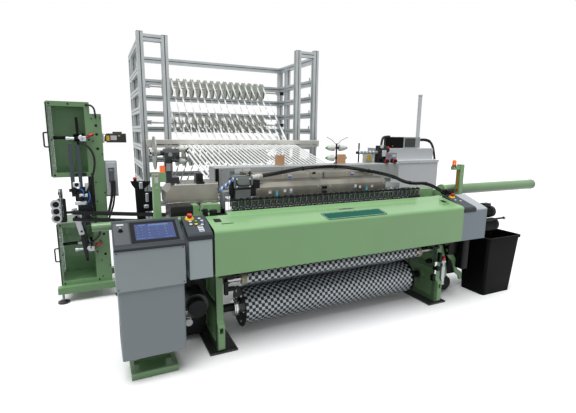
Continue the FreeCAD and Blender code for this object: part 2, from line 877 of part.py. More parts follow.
def point_tangent(point, centre, r):
    """Where a line from a point touches a circle, on the circle's back side."""
    dy = point[0] - centre[0]
    dz = point[1] - centre[1]
    angle = math.atan2(dz, dy) - math.acos(r / math.hypot(dy, dz))
    return (centre[0] + r * math.cos(angle), centre[1] + r * math.sin(angle))


def arc_between(centre, r, a, b):
    """The short arc on a circle from point a to point b."""
    middle = ((a[0] + b[0]) / 2 - centre[0], (a[1] + b[1]) / 2 - centre[1])
    scale = r / math.hypot(*middle)
    crown = V(0, centre[0] + middle[0] * scale, centre[1] + middle[1] * scale)
    return Part.Arc(V(0, *a), crown, V(0, *b)).toShape()


def cloth_face(shift):
    """Edges of one face of the cloth from the fell to the roll, shift away from its middle.

    The cloth passes behind the take-up roller, before the guide roller and over the roll.
    """
    lay = cloth_thick / 2 + skin_gap
    take_up = (take_up_y, take_up_z)
    guide = (guide_y, guide_z)
    guide_lay = guide_r + lay - shift
    up_lay = take_up_r + lay + shift
    roll_lay = roll_r + lay + shift
    touch = point_tangent((fell_y, fell_z), take_up, take_up_r + lay)
    out = V(0, touch[0] - take_up_y, touch[1] - take_up_z).normalize()
    start = V(0, fell_y, fell_z) + out * shift
    first = V(0, *take_up) + out * up_lay
    second, third = crossing_tangent(take_up, up_lay, guide, guide_lay, 1)
    fourth, fifth = crossing_tangent(guide, guide_lay, (roll_y, roll_z), roll_lay, -1)
    return [
        Part.LineSegment(start, first).toShape(),
        arc_between(take_up, up_lay, (first.y, first.z), second),
        Part.LineSegment(V(0, *second), V(0, *third)).toShape(),
        arc_between(guide, guide_lay, third, fourth),
        Part.LineSegment(V(0, *fourth), V(0, *fifth)).toShape(),
    ]


def cloth_strip():
    """The cloth from the fell down round two rollers to the roll."""
    half = cloth_width / 2 - cloth_margin
    outer = cloth_face(cloth_thick / 2)
    inner = cloth_face(-cloth_thick / 2)
    begin = Part.LineSegment(outer[0].firstVertex(True).Point, inner[0].firstVertex(True).Point)
    finish = Part.LineSegment(outer[-1].lastVertex(True).Point, inner[-1].lastVertex(True).Point)
    edges = outer + inner + [begin.toShape(), finish.toShape()]
    section = Part.Face(Part.Wire(Part.__sortEdges__(edges)))
    section.translate(V(half, 0, 0))
    return section.extrude(V(-2 * half, 0, 0))


# ---------------------------------------------------------------- superstructure


def harness_beam():
    """Grey beam over the shed, on brackets that stand on the side frames."""
    body = prism_x(
        [(beam_front, beam_bottom), (beam_front, beam_top), (beam_front + beam_depth, beam_top),
         (beam_front + beam_depth, beam_bottom)], beam_left, beam_right, 8)
    solids = [body]
    y0 = beam_front + 20
    y1 = beam_front + beam_depth - 20
    foot = frame_top - 90
    for side in (-1, 1):
        solids.append(prism_y(
            [(side * frame_inner, foot), (side * frame_outer, foot), (side * frame_outer, beam_bottom),
             (side * (frame_inner - 225), beam_bottom), (side * (frame_inner - 185), beam_bottom - 44),
             (side * frame_inner, beam_bottom - 44)], y0, y1))
    window = prism_x([(beam_front + 40, beam_bottom + 30), (beam_front + 160, beam_bottom + 30),
                      (beam_front + 160, beam_top - 35), (beam_front + 40, beam_top - 35)],
                     beam_right - 6, beam_right + 1, 12)
    slot_x = beam_left + 138
    slot = prism_y([(slot_x, 1190), (slot_x + 42, 1190), (slot_x + 42, 1252), (slot_x, 1252)],
                   beam_front - 1, beam_front + 14, 4)
    return union(*solids).cut(window).cut(slot)


def guard_plates():
    """Stainless guards over the healds: stepped sheets and their middle post."""
    path = [
        (beam_front, guard_top),
        (775, guard_top),
        (742, guard_top - 14),
        (738, guard_step_z),
        (575, guard_step_z - 4),
        (guard_y, guard_step_z - 40),
        (guard_y, guard_bottom),
    ]
    left = folded_sheet(path, guard_sheet, guard_left, -guard_post / 2)
    right = folded_sheet(path, guard_sheet, guard_post / 2, guard_right)
    post = prism_x(
        [(guard_y - 2, guard_bottom - 6), (guard_y - 2, guard_step_z - 38), (573, guard_step_z - 1),
         (736, guard_step_z + 3), (740, guard_top - 12), (774, guard_top + 3), (beam_front, guard_top + 3),
         (beam_front, guard_top - 12), (790, guard_top - 12), (762, guard_step_z - 14),
         (590, guard_step_z - 16), (guard_y + 18, guard_step_z - 50), (guard_y + 18, guard_bottom - 6)],
        -guard_post / 2, guard_post / 2)
    return group(left, right, post)


def drive_hood():
    """Stainless hood over the left drive with its sloping outer end."""
    return prism_y([(hood_left, hood_bottom), (hood_left, hood_top - 60), (hood_left + 56, hood_top),
                    (hood_right, hood_top), (hood_right, hood_bottom)], hood_front, hood_back)


def tape_head():
    """Cast head that feeds the weft tape, clamped to the guard's left edge."""
    x = guard_left
    head = prism_y(
        [(x - 202, 1188), (x - 202, 1256), (x - 40, 1256), (x - 40, 1188), (x - 56, 1150), (x - 56, 1070),
         (x - 186, 1070), (x - 186, 1150)], guard_y - 40, guard_y + 26, 6)
    slot = block(x - 162, x - 74, guard_y - 41, guard_y - 10, 1160, 1174)
    clamp = block(x - 57, x, guard_y - 4, guard_y + 22, 1086, 1180)
    strap = block(x - 222, x - 200, guard_y - 20, guard_y + 16, 1110, 1240)
    knob = union(rod_z(x - 54, guard_y - 7, 1255, 1292, 7), rod_z(x - 54, guard_y - 7, 1270, 1280, 20))
    start = V(*hose_points[0])
    along = (V(*hose_points[1]) - start).normalize()
    fitting = Part.makeCylinder(hose_r - 2, 114, start - along * 114.3, along)
    return union(head.cut(slot), clamp, strap, knob, fitting)


def bobbin_stand():
    """Black stand on the hood: axle, winder head, wheel, forked yarn arm, and a clamp."""
    top = hood_top
    x = hood_left
    y = spool_y
    post = block(x + 14, x + 60, y - 25, y + 25, top, top + 190)
    foot = block(x + 66, x + 116, y - 45, y + 45, top, top + 12)
    heel = block(x + 14, x + 116, y - 25, y + 25, top + 11, top + 40)
    head = prism_x([(y - 45, spool_z - 44), (y - 45, spool_z + 4), (y - 25, spool_z + 32),
                    (y + 25, spool_z + 32), (y + 45, spool_z + 4), (y + 45, spool_z - 44)],
                   x + 10, x + 94)
    axle = union(rod_x(x - 84, x + 11, y, spool_z, spool_axle_r), rod_x(x - 16, x + 11, y, spool_z, 20))
    wheel = union(rod_x(x + 93, x + 124, y - 15, spool_z - 12, 12),
                  rod_x(x + 94, x + 120, y - 15, spool_z - 12, 38))
    arm = rod_x(x + 93, x + 178, y, spool_z + 16, 7)
    fork_x = x + 174
    fork_z = spool_z + 10
    fork = prism_y([(fork_x, fork_z), (fork_x, fork_z + 12), (fork_x + 22, fork_z + 32),
                    (fork_x + 28, fork_z + 24), (fork_x + 12, fork_z + 6), (fork_x + 28, fork_z - 12),
                    (fork_x + 22, fork_z - 20)], y - 5, y + 5)
    clamp = block(x + 230, x + 274, y - 75, y - 15, top, top + 74)
    return group(union(post, foot, heel, head, axle, wheel, arm, fork), clamp)


def spool_disc():
    """The thin disc that turns on the bobbin stand's axle."""
    x = hood_left
    disc = rod_x(x - 60, x - 52, spool_y, spool_z, 124)
    collar = rod_x(x - 76, x - 17, spool_y, spool_z, 22)
    return union(disc, collar).cut(rod_x(x - 94, x - 4, spool_y, spool_z, spool_axle_r + bearing_clear))


def cone_stand():
    """Black cross on the beam with four yarn cones lying along X."""
    x = cone_stand_x
    y = beam_front + 130
    solids = [rod_z(x, y, beam_top, beam_top + 10, 26), rod_z(x, y, beam_top, beam_top + 208, 9)]
    for z in (beam_top + 60, beam_top + 162):
        solids.append(rod_x(x - 60, x + 60, y, z, 7))
        solids.append(cone_x(x + 30, x + 128, y, z, 28, 12))
        solids.append(cone_x(x - 128, x - 30, y, z, 12, 28))
        solids.append(block(x - 20, x + 20, y - 16, y + 16, z - 12, z + 12))
    return union(*solids)


def feeder_unit():
    """Weft feeder on the right end of the beam: head, long nose, yoke, plate and knobs."""
    x = beam_right
    y = beam_front + 110
    z = beam_top + 112
    foot = block(x - 220, x - 100, y - 40, y + 40, beam_top, beam_top + 20)
    head = prism_x([(y - 38, beam_top + 18), (y - 46, z), (y - 20, z + 74), (y + 30, z + 74),
                    (y + 42, beam_top + 18)], x - 218, x - 114, 10)
    nose = rod_x(x - 464, x - 217, y, z, 17)
    yoke = rod_z(x - 462, y, z - 102, z + 100, 8)
    knob = rod_x(x - 492, x - 462, y, z, 15)
    brake = rod_x(x - 115, x - 84, y, z + 30, 30)
    box_back = block(x - 330, x - 250, y + 46, y + 110, beam_top, z + 8)
    plate_y = beam_front + 46
    plate = block(x - 144, x, plate_y, plate_y + 12, beam_top, z - 4)
    shelf = block(x - 180, x, plate_y, y - 39, beam_top, beam_top + 12)
    solids = [foot, head, nose, yoke, knob, brake, plate, shelf]
    for knob_x, r in ((x - 170, 20), (x - 60, 24)):
        solids.append(rod_y(knob_x, beam_front, plate_y + 1, beam_top + 24, r))
    return group(union(*solids), box_back)


def drive_motors():
    """Two black motors and the bright shaft between them on the right cabinet."""
    upper = union(rod_x(cabinet_right, cabinet_right + 22, 112, 868, 64),
                  rod_x(cabinet_right + 22, cabinet_right + 205, 112, 868, 54))
    lower = union(rod_x(cabinet_right, cabinet_right + 236, 92, 744, 60),
                  rod_x(cabinet_right + 236, cabinet_right + 252, 92, 744, 48))
    shaft = union(rod_x(cabinet_right, cabinet_right + 286, 30, 812, 9),
                  rod_x(cabinet_right, cabinet_right + 120, 30, 812, 17))
    return group(upper, lower, shaft)


def linkage_right():
    """Outside the right frame: air cylinder with its eyes and knob, and the lever's pin."""
    x = frame_outer + 33
    y = frame_front + 33
    cylinder = union(rod_z(x, y, 205, 360, 21), rod_z(x, y, 360, 410, 13), rod_z(x, y, 178, 205, 13))
    eyes = union(rod_x(frame_outer, x + 18, y, 404, 16), rod_x(frame_outer, x + 18, y, 182, 14))
    knob = union(rod_z(x, y, 410, 432, 8), Part.makeSphere(17, V(x, y, 440)))
    pin = union(rod_x(frame_outer, lever_x - 10, lever_y, lever_z, lever_pin_r + 10),
                rod_x(lever_x - 11, lever_x + 46, lever_y, lever_z, lever_pin_r))
    return group(union(cylinder, eyes, knob), pin)


def lever_arm_right():
    """Curved cast lever that swings on its pin outside the right frame."""
    outline = [(322, 640), (384, 640), (384, 560), (300, 400), (262, 240), (218, 212), (196, 250),
               (226, 400), (270, 520)]
    arm = prism_x(outline, lever_x, lever_x + 36, 14)
    hub = rod_x(lever_x - 9, lever_x + 42, lever_y, lever_z, lever_pin_r + 12)
    boss = rod_x(lever_x - 8, lever_x + 44, 232, 248, 26)
    bore = rod_x(lever_x - 20, lever_x + 60, lever_y, lever_z, lever_pin_r + bearing_clear)
    return union(arm, hub, boss).cut(bore)


# ---------------------------------------------------------------- machines around it


def plan_box(x0, x1, y0, y1, z0, z1, radius):
    """An upright box whose vertical edges are rounded."""
    return prism_z([(x0, y0), (x1, y0), (x1, y1), (x0, y1)], z0, z1, radius)


def rear_cabinet():
    """Pale control cabinet behind the loom's right side, with what stands on it."""
    x0 = rear_left
    x1 = rear_left + rear_width
    y0 = rear_front
    y1 = rear_front + rear_depth
    lower = plan_box(x0, x1, y0, y1, 60, rear_split, 6)
    plinth = block(x0 + 20, x1 - 20, y0 + 20, y1 - 20, 0, 61)
    upper = plan_box(x0, x1 - 25, y0 + 80, y1 - 20, rear_split + 34, rear_top, 6)
    band = plan_box(x0 - 8, x1 + 8, y0 - 8, y1 + 8, rear_split - 1, rear_split + 35, 6)
    return group(union(lower, plinth, upper, band), *display_unit())


def display_unit():
    """Black and silver display box on the cabinet, and the pale pole behind it."""
    x = rear_left
    y = rear_front + 100
    z = rear_top
    body = block(x + 36, x + 620, y, y + 45, z, z + 152)
    bezel = block(x + 330, x + 580, y - 8, y + 1, z + 14, z + 142)
    screen = block(x + 355, x + 525, y - 12, y - 7, z + 26, z + 130)
    foot = block(x + 130, x + 530, y + 44, y + 100, z, z + 14)
    pole_x = x + 692
    pole_y = y + 130
    pole = union(rod_z(pole_x, pole_y, z, z + 710, 25), rod_z(pole_x, pole_y, z, z + 22, 40),
                 rod_z(pole_x, pole_y, z + 709, z + 722, 29))
    return [union(body, bezel, screen, foot), pole]


def bin_taper(inset, floor, top):
    """The bin's tapered form, drawn in by inset, from its floor to a height."""
    rings = []
    for z, half_x, front, depth in ((floor, 199, 30, 280), (top, 233, 0, 345)):
        x0 = bin_x - half_x + inset
        x1 = bin_x + half_x - inset
        y0 = bin_front + front + inset
        y1 = bin_front + front + depth - inset
        rings.append(rounded_wire([V(x0, y0, z), V(x1, y0, z), V(x1, y1, z), V(x0, y1, z)], 30))
    return Part.makeLoft(rings, True, True)


def waste_bin():
    """Tapered open bin with a turned rim."""
    wall = bin_taper(0, 0, bin_height - 4).cut(bin_taper(5, 5, bin_height - 3))
    rim = plan_box(bin_x - 245, bin_x + 243, bin_front - 12, bin_front + 357, bin_height - 24, bin_height, 34)
    mouth = plan_box(bin_x - 230, bin_x + 226, bin_front + 5, bin_front + 340,
                     bin_height - 25, bin_height + 1, 26)
    return union(wall, rim.cut(mouth).cut(bin_taper(1, 0, bin_height - 4)))


def tower_box(z0, z1):
    """An open-fronted sheet box with a border, its left side open for a clear door."""
    y1 = tower_front + tower_depth
    outer = block(tower_left, tower_right, tower_front, y1, z0, z1)
    inner = block(tower_left - 1, tower_right - tower_wall, tower_front + 20, y1 - tower_wall,
                  z0 + tower_wall, z1 - tower_wall)
    mouth = block(tower_left + 6, tower_right - tower_border, tower_front - 1, tower_front + 21,
                  z0 + tower_border, z1 - tower_border)
    return outer.cut(inner).cut(mouth)


def tower_frame():
    """Green tower: two boxes on one column, over base rails with levelling feet."""
    y1 = tower_front + tower_depth
    rail_top = rail_bottom + rail_height
    column = block(tower_right, column_right, tower_front, tower_front + 150, rail_top, column_top)
    hollow = block(tower_right + 5, column_right - 5, tower_front + 5, tower_front + 151,
                   rail_top - 1, column_top + 1)
    column = column.cut(hollow)
    for z in (1640, 1560, 1430, 700, 620, 420):
        column = column.cut(rod_y((tower_right + column_right) / 2, tower_front - 1, tower_front + 6, z, 9))
    wall_x = tower_right - tower_wall
    back_post = block(tower_right - 60, wall_x, y1 - 60, y1, lower_box_top, upper_box_bottom)
    side_plate = block(wall_x, tower_right, tower_front, y1, lower_box_top, upper_box_bottom)
    solids = [column, back_post, side_plate]
    for z0, z1 in ((upper_box_bottom, box_top), (lower_box_bottom, lower_box_top)):
        box = tower_box(z0, z1)
        for z in (z0 + door_inset, z1 - door_inset - knuckle):
            box = union(box, hinge_part(z, z + knuckle, True))
        solids.append(box)
    for y in (tower_front - 60, y1 - 60):
        rail = [block(tower_left - 39, rail_right, y, y + 70, rail_bottom, rail_top)]
        for x in (tower_left, rail_right - 40):
            rail.append(rod_z(x, y + 24, 16, rail_bottom + 1, 10))
            rail.append(Part.makeCone(46, 20, 14, V(x, y + 24, 14)))
            rail.append(rod_z(x, y + 24, 0, 15, 50))
        solids.append(union(*rail))
    return group(*solids)


def hinge_part(z0, z1, on_frame):
    """A hinge knuckle about the door's axis, with a short arm to the frame."""
    x = tower_left - 4.5
    y = tower_front + tower_depth - 10
    barrel = rod_z(x, y, z0, z1, 4)
    if on_frame:
        return union(barrel, block(x, tower_left + 12, y, y + 8, z0, z1))
    return barrel


def tower_cabinet():
    """Drive motor, grey terminal box and trunking on the column's right side."""
    y = tower_front + 70
    z = 1528
    motor = union(rod_x(column_right, column_right + 34, y, z, 34),
                  prism_x([(y - 42, z - 42), (y + 42, z - 42), (y + 42, z + 42), (y - 42, z + 42)],
                          column_right + 34, column_right + 205, 8),
                  block(column_right + 90, column_right + 170, y - 26, y + 26, z + 41, z + 58))
    box = block(column_right, column_right + 108, tower_front + 20, tower_front + 140, 978, 1312)
    plug = block(column_right + 30, column_right + 76, tower_front - 18, tower_front + 20, 1120, 1240)
    return group(motor, union(box, plug))


def tower_guides():
    """Upright guide bars, rollers, tilted arms and the two red brake levers."""
    x = tower_left
    y = tower_front - 26
    solids = [
        block(x + 142, x + 174, y - 12, y + 12, 1000, 1476),
        block(x + 206, x + 236, y - 10, y + 14, 420, 1466),
        block(x + 122, x + 292, y - 16, y + 18, 1044, 1070),
        block(x + 122, x + 316, y - 14, y + 18, 842, 868),
        block(x + 182, x + 272, y + 10, tower_front, upper_box_bottom + 9, upper_box_bottom + 35),
        block(x + 182, x + 272, y + 10, tower_front, lower_box_top - 30, lower_box_top - 6),
        prism_y([(x + 182, 867), (x + 300, 867), (x + 292, 1045), (x + 188, 1045)], y - 30, y + 26, 10),
        block(x + 60, x + 132, y - 8, y + 8, 844, 866),
        block(x + 54, x + 64, y - 20, y + 20, 846, 1030),
        prism_y([(x + 132, 894), (x + 168, 894), (x + 216, 650), (x + 180, 646)], y - 30, y - 11, 8),
        prism_y([(x + 182, 660), (x + 208, 660), (x + 234, 440), (x + 208, 436)], y - 26, y - 8, 6),
    ]
    for k in range(4):
        solids.append(rod_x(x + 38, x + 64, y, 848 + k * 62, 39))
    levers = []
    for z in (upper_spindle_z, lower_spindle_z):
        boss = rod_y(x + 312, y - 10, tower_front, z + 20, 12)
        levers.append(union(boss, Part.makeCylinder(8, 96, V(x + 260, y, z - 6), V(0.9, 0, 0.44))))
    return group(union(*solids), *levers)


def tower_rails():
    """Two black channels that carry the tape from the tower to the loom's frame, and their stand."""
    x_end = -frame_outer
    start = V(tower_left + 142, tower_front - 84, 0)
    reach = x_end + 30 - start.x
    run = V(reach, -0.533 * reach, 0)
    finish = start + run
    side = V(-run.y, run.x, 0).normalize() * 17
    solids = []
    for z0, z1 in ((channel_z, channel_z + 30), (channel_z - 60, channel_z - 32)):
        corners = [start + side, finish + side, finish - side, start - side]
        solids.append(prism_z([(p.x, p.y) for p in corners], z0, z1))
    near = start + run * 0.12
    solids.append(block(near.x - 20, near.x + 20, near.y - 10, near.y + 10, channel_z - 33, channel_z + 1))
    arm_x = tower_left + 282
    solids.append(block(arm_x, arm_x + 28, start.y - 62, tower_front - 40, channel_z, channel_z + 20))
    x, y = stand_x, stand_y
    solids.append(prism_y([(x - 70, 1118), (x - 86, 1158), (x + 86, 1152), (x + 66, 1118), (x + 30, 1090),
                           (x + 22, 12), (x - 26, 12), (x - 50, 1090)], y - 20, y + 20))
    solids.append(block(x - 110, x + 110, y - 90, y + 90, 0, 12))
    solids.append(block(x - 26, x + 20, y - 50, y - 19, channel_z - 33, channel_z + 1))
    solids.append(block(x + 20, x + 96, y - 20, y + 26, 880, 1060))
    solids.append(rod_z(x - 46, y, 1150, 1176, 13))
    return union(*solids).cut(block(x_end, x_end + 200, 900, 1300, 700, 900))


def clear_door(z0, z1):
    """Clear side door of a tower box with its hinge barrel, dark edge and handle."""
    y1 = tower_front + tower_depth - 10
    x1 = tower_left - 0.5
    low = z0 + door_inset
    high = z1 - door_inset
    sheet = block(x1 - 5, x1, tower_front + 4, y1, low, high)
    for z in (low, high - knuckle):
        sheet = sheet.cut(block(x1 - 6, x1 + 1, y1 - 7, y1 + 1, z - 0.5, z + knuckle + 0.5))
    barrel = hinge_part(low + knuckle + 0.5, high - knuckle - 0.5, False)
    edge = block(x1 - 9, x1, tower_front - 4, tower_front + 5, low, high)
    middle = (z0 + z1) / 2 + 8
    y = tower_front + 14
    grip = union(
        block(x1 - 46, x1 - 4, y - 6, y + 6, middle - 66, middle - 54),
        block(x1 - 46, x1 - 4, y - 6, y + 6, middle + 54, middle + 66),
        block(x1 - 46, x1 - 34, y - 6, y + 6, middle - 66, middle + 66))
    return union(sheet, barrel, edge, grip)


def tower_reel(z):
    """Tape reel holder: spindle, chuck and four thin arms."""
    x = tower_left
    y = spindle_y
    solids = [rod_x(x + 16, tower_right - tower_wall - 0.3, y, z, 15),
              rod_x(x + 182, x + 232, y, z, 34), rod_x(x + 242, x + 272, y, z, 42)]
    for angle in range(0, 360, 90):
        arm = block(x + 206, x + 228, y - 13, y + 13, z + 30, z + tower_reel_r - 20)
        solids.append(arm.rotate(V(0, y, z), V(1, 0, 0), angle))
    return union(*solids)


# ---------------------------------------------------------------- creel


def slotted(length):
    """A square slotted profile of the given length, upright on the origin."""
    half = profile / 2
    outline = []
    for turn in range(4):
        angle = turn * math.pi / 2
        for u, v in ((-half, -half), (-slot_width / 2, -half), (-slot_width / 2, -half + slot_depth),
                     (slot_width / 2, -half + slot_depth), (slot_width / 2, -half)):
            outline.append((u * math.cos(angle) - v * math.sin(angle),
                            u * math.sin(angle) + v * math.cos(angle)))
    return prism_z(outline, 0, length)


def profile_z(x, y, z0, z1):
    """An upright profile centred on (x, y)."""
    return slotted(z1 - z0).translate(V(x, y, z0))


def profile_x(x0, x1, y, z):
    """A profile lying along X."""
    bar = slotted(x1 - x0)
    bar.rotate(V(0, 0, 0), V(0, 1, 0), 90)
    return bar.translate(V(x0, y, z))


def profile_y(x, y0, y1, z):
    """A profile lying along Y."""
    bar = slotted(y1 - y0)
    bar.rotate(V(0, 0, 0), V(1, 0, 0), -90)
    return bar.translate(V(x, y0, z))


def rail_levels():
    """Heights of the creel's rails, from the top down."""
    return heights(rail_top_z, rail_first_drop, rail_pitch, rail_count)


def row_levels():
    """Heights of the reel shafts, from the top down."""
    return [row_top_z - k * row_pitch for k in range(row_count)]


def creel_side():
    """The left ladder of the creel: three posts, an inner post and the rungs."""
    half = profile / 2
    x = -creel_half + half
    front = creel_front + half
    back = creel_back - half
    members = [
        profile_z(x, front, 0, creel_top),
        profile_z(x, back, 0, creel_top - 90),
        profile_z(-inner_post_x, front, 0, creel_top - 20),
        profile_z(x, shaft_y, 0, rail_top_z - half),
        profile_x(x + half, -inner_post_x - half, front, creel_top - 62),
        profile_x(x + half, -inner_post_x - half, front, 183),
    ]
    for z in rail_levels()[:1]:
        members.append(profile_y(x, front + half, back - half, z))
    for z in rail_levels()[1:]:
        members.append(profile_y(x, front + half, shaft_y - half, z))
        members.append(profile_y(x, shaft_y + half, back - half, z))
    for z in row_levels():
        members.append(block(x + half, -shaft_half, shaft_y - 22, shaft_y + 22, z - 24, z + 24))
    return members


def creel_rails():
    """Back rails between the two ladders."""
    half = profile / 2
    inner = creel_half - profile
    return group(*[profile_x(-inner, inner, creel_back - half, z) for z in rail_levels()])


def reel_x(row, k):
    """Middle of reel k of a row: every tape runs straight to its place in the cloth."""
    return -cloth_width / 2 + tape_pitch * (row_count * k + row + 0.5)


def reel_row(row):
    """One shaft with its reels, turned as a single profile."""
    z = row_levels()[row]
    end = shaft_half - 0.3
    profile_points = [(-end, 0), (-end, shaft_r)]
    for k in range(reels_per_row):
        x = reel_x(row, k)
        a = tape_width / 2
        b = a + reel_flange
        profile_points.extend([
            (x - b, shaft_r), (x - b, reel_r), (x - a, reel_r), (x - a, reel_core_r),
            (x + a, reel_core_r), (x + a, reel_r), (x + b, reel_r), (x + b, shaft_r)])
    profile_points.extend([(end, shaft_r), (end, 0)])
    points = [V(x, shaft_y, z + r) for x, r in profile_points]
    face = Part.Face(Part.makePolygon(points + points[:1]))
    return face.revolve(V(0, shaft_y, z), V(1, 0, 0), 360)


def guide_bar():
    """Upper and lower bars that gather the tapes, on brackets from the front posts."""
    half = guide_bar_half
    foot = half - 66
    upper = prism_x([(guide_bar_y - 25, guide_bar_z + 7), (guide_bar_y + 25, guide_bar_z + 7),
                     (guide_bar_y + 25, guide_bar_z + 66), (guide_bar_y - 25, guide_bar_z + 66)],
                    -half, half, 6)
    lower = block(-foot, foot, guide_bar_y - 18, guide_bar_y + 18, guide_bar_z - 34, guide_bar_z - 7)
    bracket = union(
        block(-foot - 42, -foot, guide_bar_y - 18, guide_bar_y + 18, guide_bar_z - 34, guide_bar_z + 7),
        block(-foot - 42, -foot, guide_bar_y + 25, creel_front, guide_bar_z - 34, guide_bar_z + 40),
        block(-foot - 42, -foot, guide_bar_y + 17, guide_bar_y + 26, guide_bar_z - 34, guide_bar_z + 7))
    return group(upper, lower, bracket, mirrored(bracket))


def tape_path(row):
    """(y, z) points of a tape from its reel to the fell."""
    z = row_levels()[row]
    clear = reel_core_r + skin_gap + tape_thick
    over = back_rest_z + back_rest_r + skin_gap
    guide = (guide_bar_y + 28, guide_bar_z)
    dy = guide[0] - shaft_y
    dz = guide[1] - z
    reach = math.hypot(dy, dz)
    angle = math.atan2(dz, dy) - math.acos(clear / reach)
    leave = (shaft_y + clear * math.cos(angle), z + clear * math.sin(angle))
    return [leave, guide, (guide_bar_y - 28, guide_bar_z), (back_rest_y + 12, over + 3),
            (back_rest_y - 14, over + 2), (fell_y + 3, fell_z)]


def warp_tapes():
    """Every tape of the warp, each a thin flat strip at its own place in the width."""
    strips = []
    for row in range(row_count):
        path = tape_path(row)
        for k in range(reels_per_row):
            x = reel_x(row, k)
            strips.append(folded_sheet(path, tape_thick, x - tape_width / 2, x + tape_width / 2))
    return group(*strips)


# ---------------------------------------------------------------- hose bundle

hose_r = 18.0
hose_points = [
    (-590, 562, 1247), (-330, 655, 1270), (105, 718, 1305), (500, 695, 1262),
    (800, 612, 1196), (1000, 512, 1156), (1170, 385, 1095), (1292, 298, 988),
]


def bent_tube(points, r):
    """A tube of straight runs joined by tangent arcs, each as large as its runs allow."""
    corners = [V(*p) for p in points]
    edges = []
    here = corners[0]
    for i in range(1, len(corners) - 1):
        before = corners[i - 1] - corners[i]
        after = corners[i + 1] - corners[i]
        half_turn = (math.pi - before.getAngle(after)) / 2
        reach = 0.45 * min(before.Length, after.Length)
        bend = reach / math.tan(half_turn)
        print("bend radius", round(bend))
        start = corners[i] + before.normalize() * reach
        finish = corners[i] + after.normalize() * reach
        middle = ((start + finish) * 0.5 - corners[i]).normalize()
        crown = corners[i] + middle * (bend / math.cos(half_turn) - bend)
        edges.append(Part.LineSegment(here, start).toShape())
        edges.append(Part.Arc(start, crown, finish).toShape())
        here = finish
    edges.append(Part.LineSegment(here, corners[-1]).toShape())
    path = Part.Wire(edges)
    first = (corners[1] - corners[0]).normalize()
    ring = Part.Wire(Part.makeCircle(r, corners[0], first))
    return path.makePipeShell([ring], True, False)


# ---------------------------------------------------------------- stop buttons


def button_seat(place, depth, back_z):
    """Point on a desk's slope where a stop button stands, and the slope's normal."""
    x, y = place
    rise = (back_z - panel_slab_front - 6) / (depth - 14)
    normal = V(0, -rise, 1).normalize()
    return V(x, y, panel_slab_front + 6 + rise * (y - 14)), normal


def desk_with_collar(desk, place, depth, back_z):
    """The desk bored for the button's stem, with the collar ring round the bore."""
    foot, normal = button_seat(place, depth, back_z)
    bore = Part.makeCylinder(button_stem_r + button_clear, 60, foot - normal * button_depth, normal)
    collar = Part.makeCylinder(collar_r, collar_height + 3, foot - normal * 3, normal)
    return union(desk, collar).cut(bore)


def stop_button(place, depth, back_z):
    """Mushroom button square to the desk's slope, its stem sunk in the desk."""
    foot, normal = button_seat(place, depth, back_z)
    stem_length = button_sunk + button_under + 1
    stem = Part.makeCylinder(button_stem_r, stem_length, foot - normal * button_sunk, normal)
    cap = Part.makeCylinder(button_cap_r, button_top - button_under, foot + normal * button_under, normal)
    return union(stem, cap)


# ---------------------------------------------------------------- the nodes


def build():
    """Make every node in the loom's own frame."""
    left_frame = frame_with_plates()
    parts["side_frame_left"] = left_frame
    parts["side_frame_right"] = mirrored(left_frame)
    parts["cross_beams"] = cross_beams()
    parts["front_cover"] = front_cover()
    parts["button_panel"] = button_panel()
    parts["button_panel_top"] = button_panel_top()
    parts["right_cabinet"] = right_cabinet()
    parts["right_cabinet_top"] = right_cabinet_top()
    parts["console_body"] = console_body()
    parts["console_top"] = console_top_slab()
    parts["console_base"] = console_base()
    parts["light_posts"] = light_posts()
    parts["signal_lamps"] = signal_lamps()
    parts["drive_hood"] = drive_hood()
    parts["drive_housing_left"] = drive_housing_left()
    parts["drive_housing_right"] = drive_housing_right()
    parts["guard_tube_left"] = guard_tube_left()
    parts["guard_tube_right"] = guard_tube_right()
    parts["drive_motors"] = drive_motors()
    parts["guard_plates"] = guard_plates()
    parts["harness_beam"] = harness_beam()
    parts["rear_cabinet"] = rear_cabinet()
    parts["waste_bin"] = waste_bin()
    parts["tower_frame"] = tower_frame()
    parts["tower_cabinet"] = tower_cabinet()
    parts["tower_guides"] = tower_guides()
    parts["tower_rails"] = tower_rails()
    side = creel_side()
    parts["creel_side_left"] = group(*side)
    parts["creel_side_right"] = group(*[mirrored(member) for member in side])
    parts["creel_rails"] = creel_rails()
    parts["guide_bar"] = guide_bar()
    parts["bobbin_stand"] = bobbin_stand()
    parts["spool_disc"] = spool_disc()
    parts["cone_stand"] = cone_stand()
    parts["feeder_unit"] = feeder_unit()
    parts["tape_head"] = tape_head()
    parts["hose_bundle"] = bent_tube(hose_points, hose_r)
    parts["cloth_strip"] = cloth_strip()
    parts["warp_tapes"] = warp_tapes()
    parts["linkage_right"] = linkage_right()
    parts["lever_arm_right"] = lever_arm_right()
    parts["sley"] = sley()
    parts["heald_shaft_front"] = heald_shaft(heald_front_y)
    parts["heald_shaft_rear"] = heald_shaft(heald_front_y + heald_gap)
    parts["rapier_left"] = rapier(-rapier_tip_x, rapier_left_end)
    parts["rapier_right"] = rapier(rapier_tip_x, rapier_right_end)
    parts["take_up_roller"] = roller(take_up_y, take_up_z, take_up_r, roller_half, take_up_journal)
    parts["guide_roller"] = roller(guide_y, guide_z, guide_r, roller_half + 20, guide_journal)
    parts["cloth_roll"] = cloth_beam()
    parts["wound_cloth"] = wound_cloth()
    for row in range(row_count):
        parts["reel_row_%d" % (row + 1)] = reel_row(row)
    parts["tower_door_upper"] = clear_door(upper_box_bottom, box_top)
    parts["tower_door_lower"] = clear_door(lower_box_bottom, lower_box_top)
    parts["tower_reel_upper"] = tower_reel(upper_spindle_z)
    parts["tower_reel_lower"] = tower_reel(lower_spindle_z)
    parts["stop_button_left"] = stop_button(button_left, panel_depth, panel_slab_back)
    parts["stop_button_right"] = stop_button(button_right, cabinet_depth, cabinet_back)


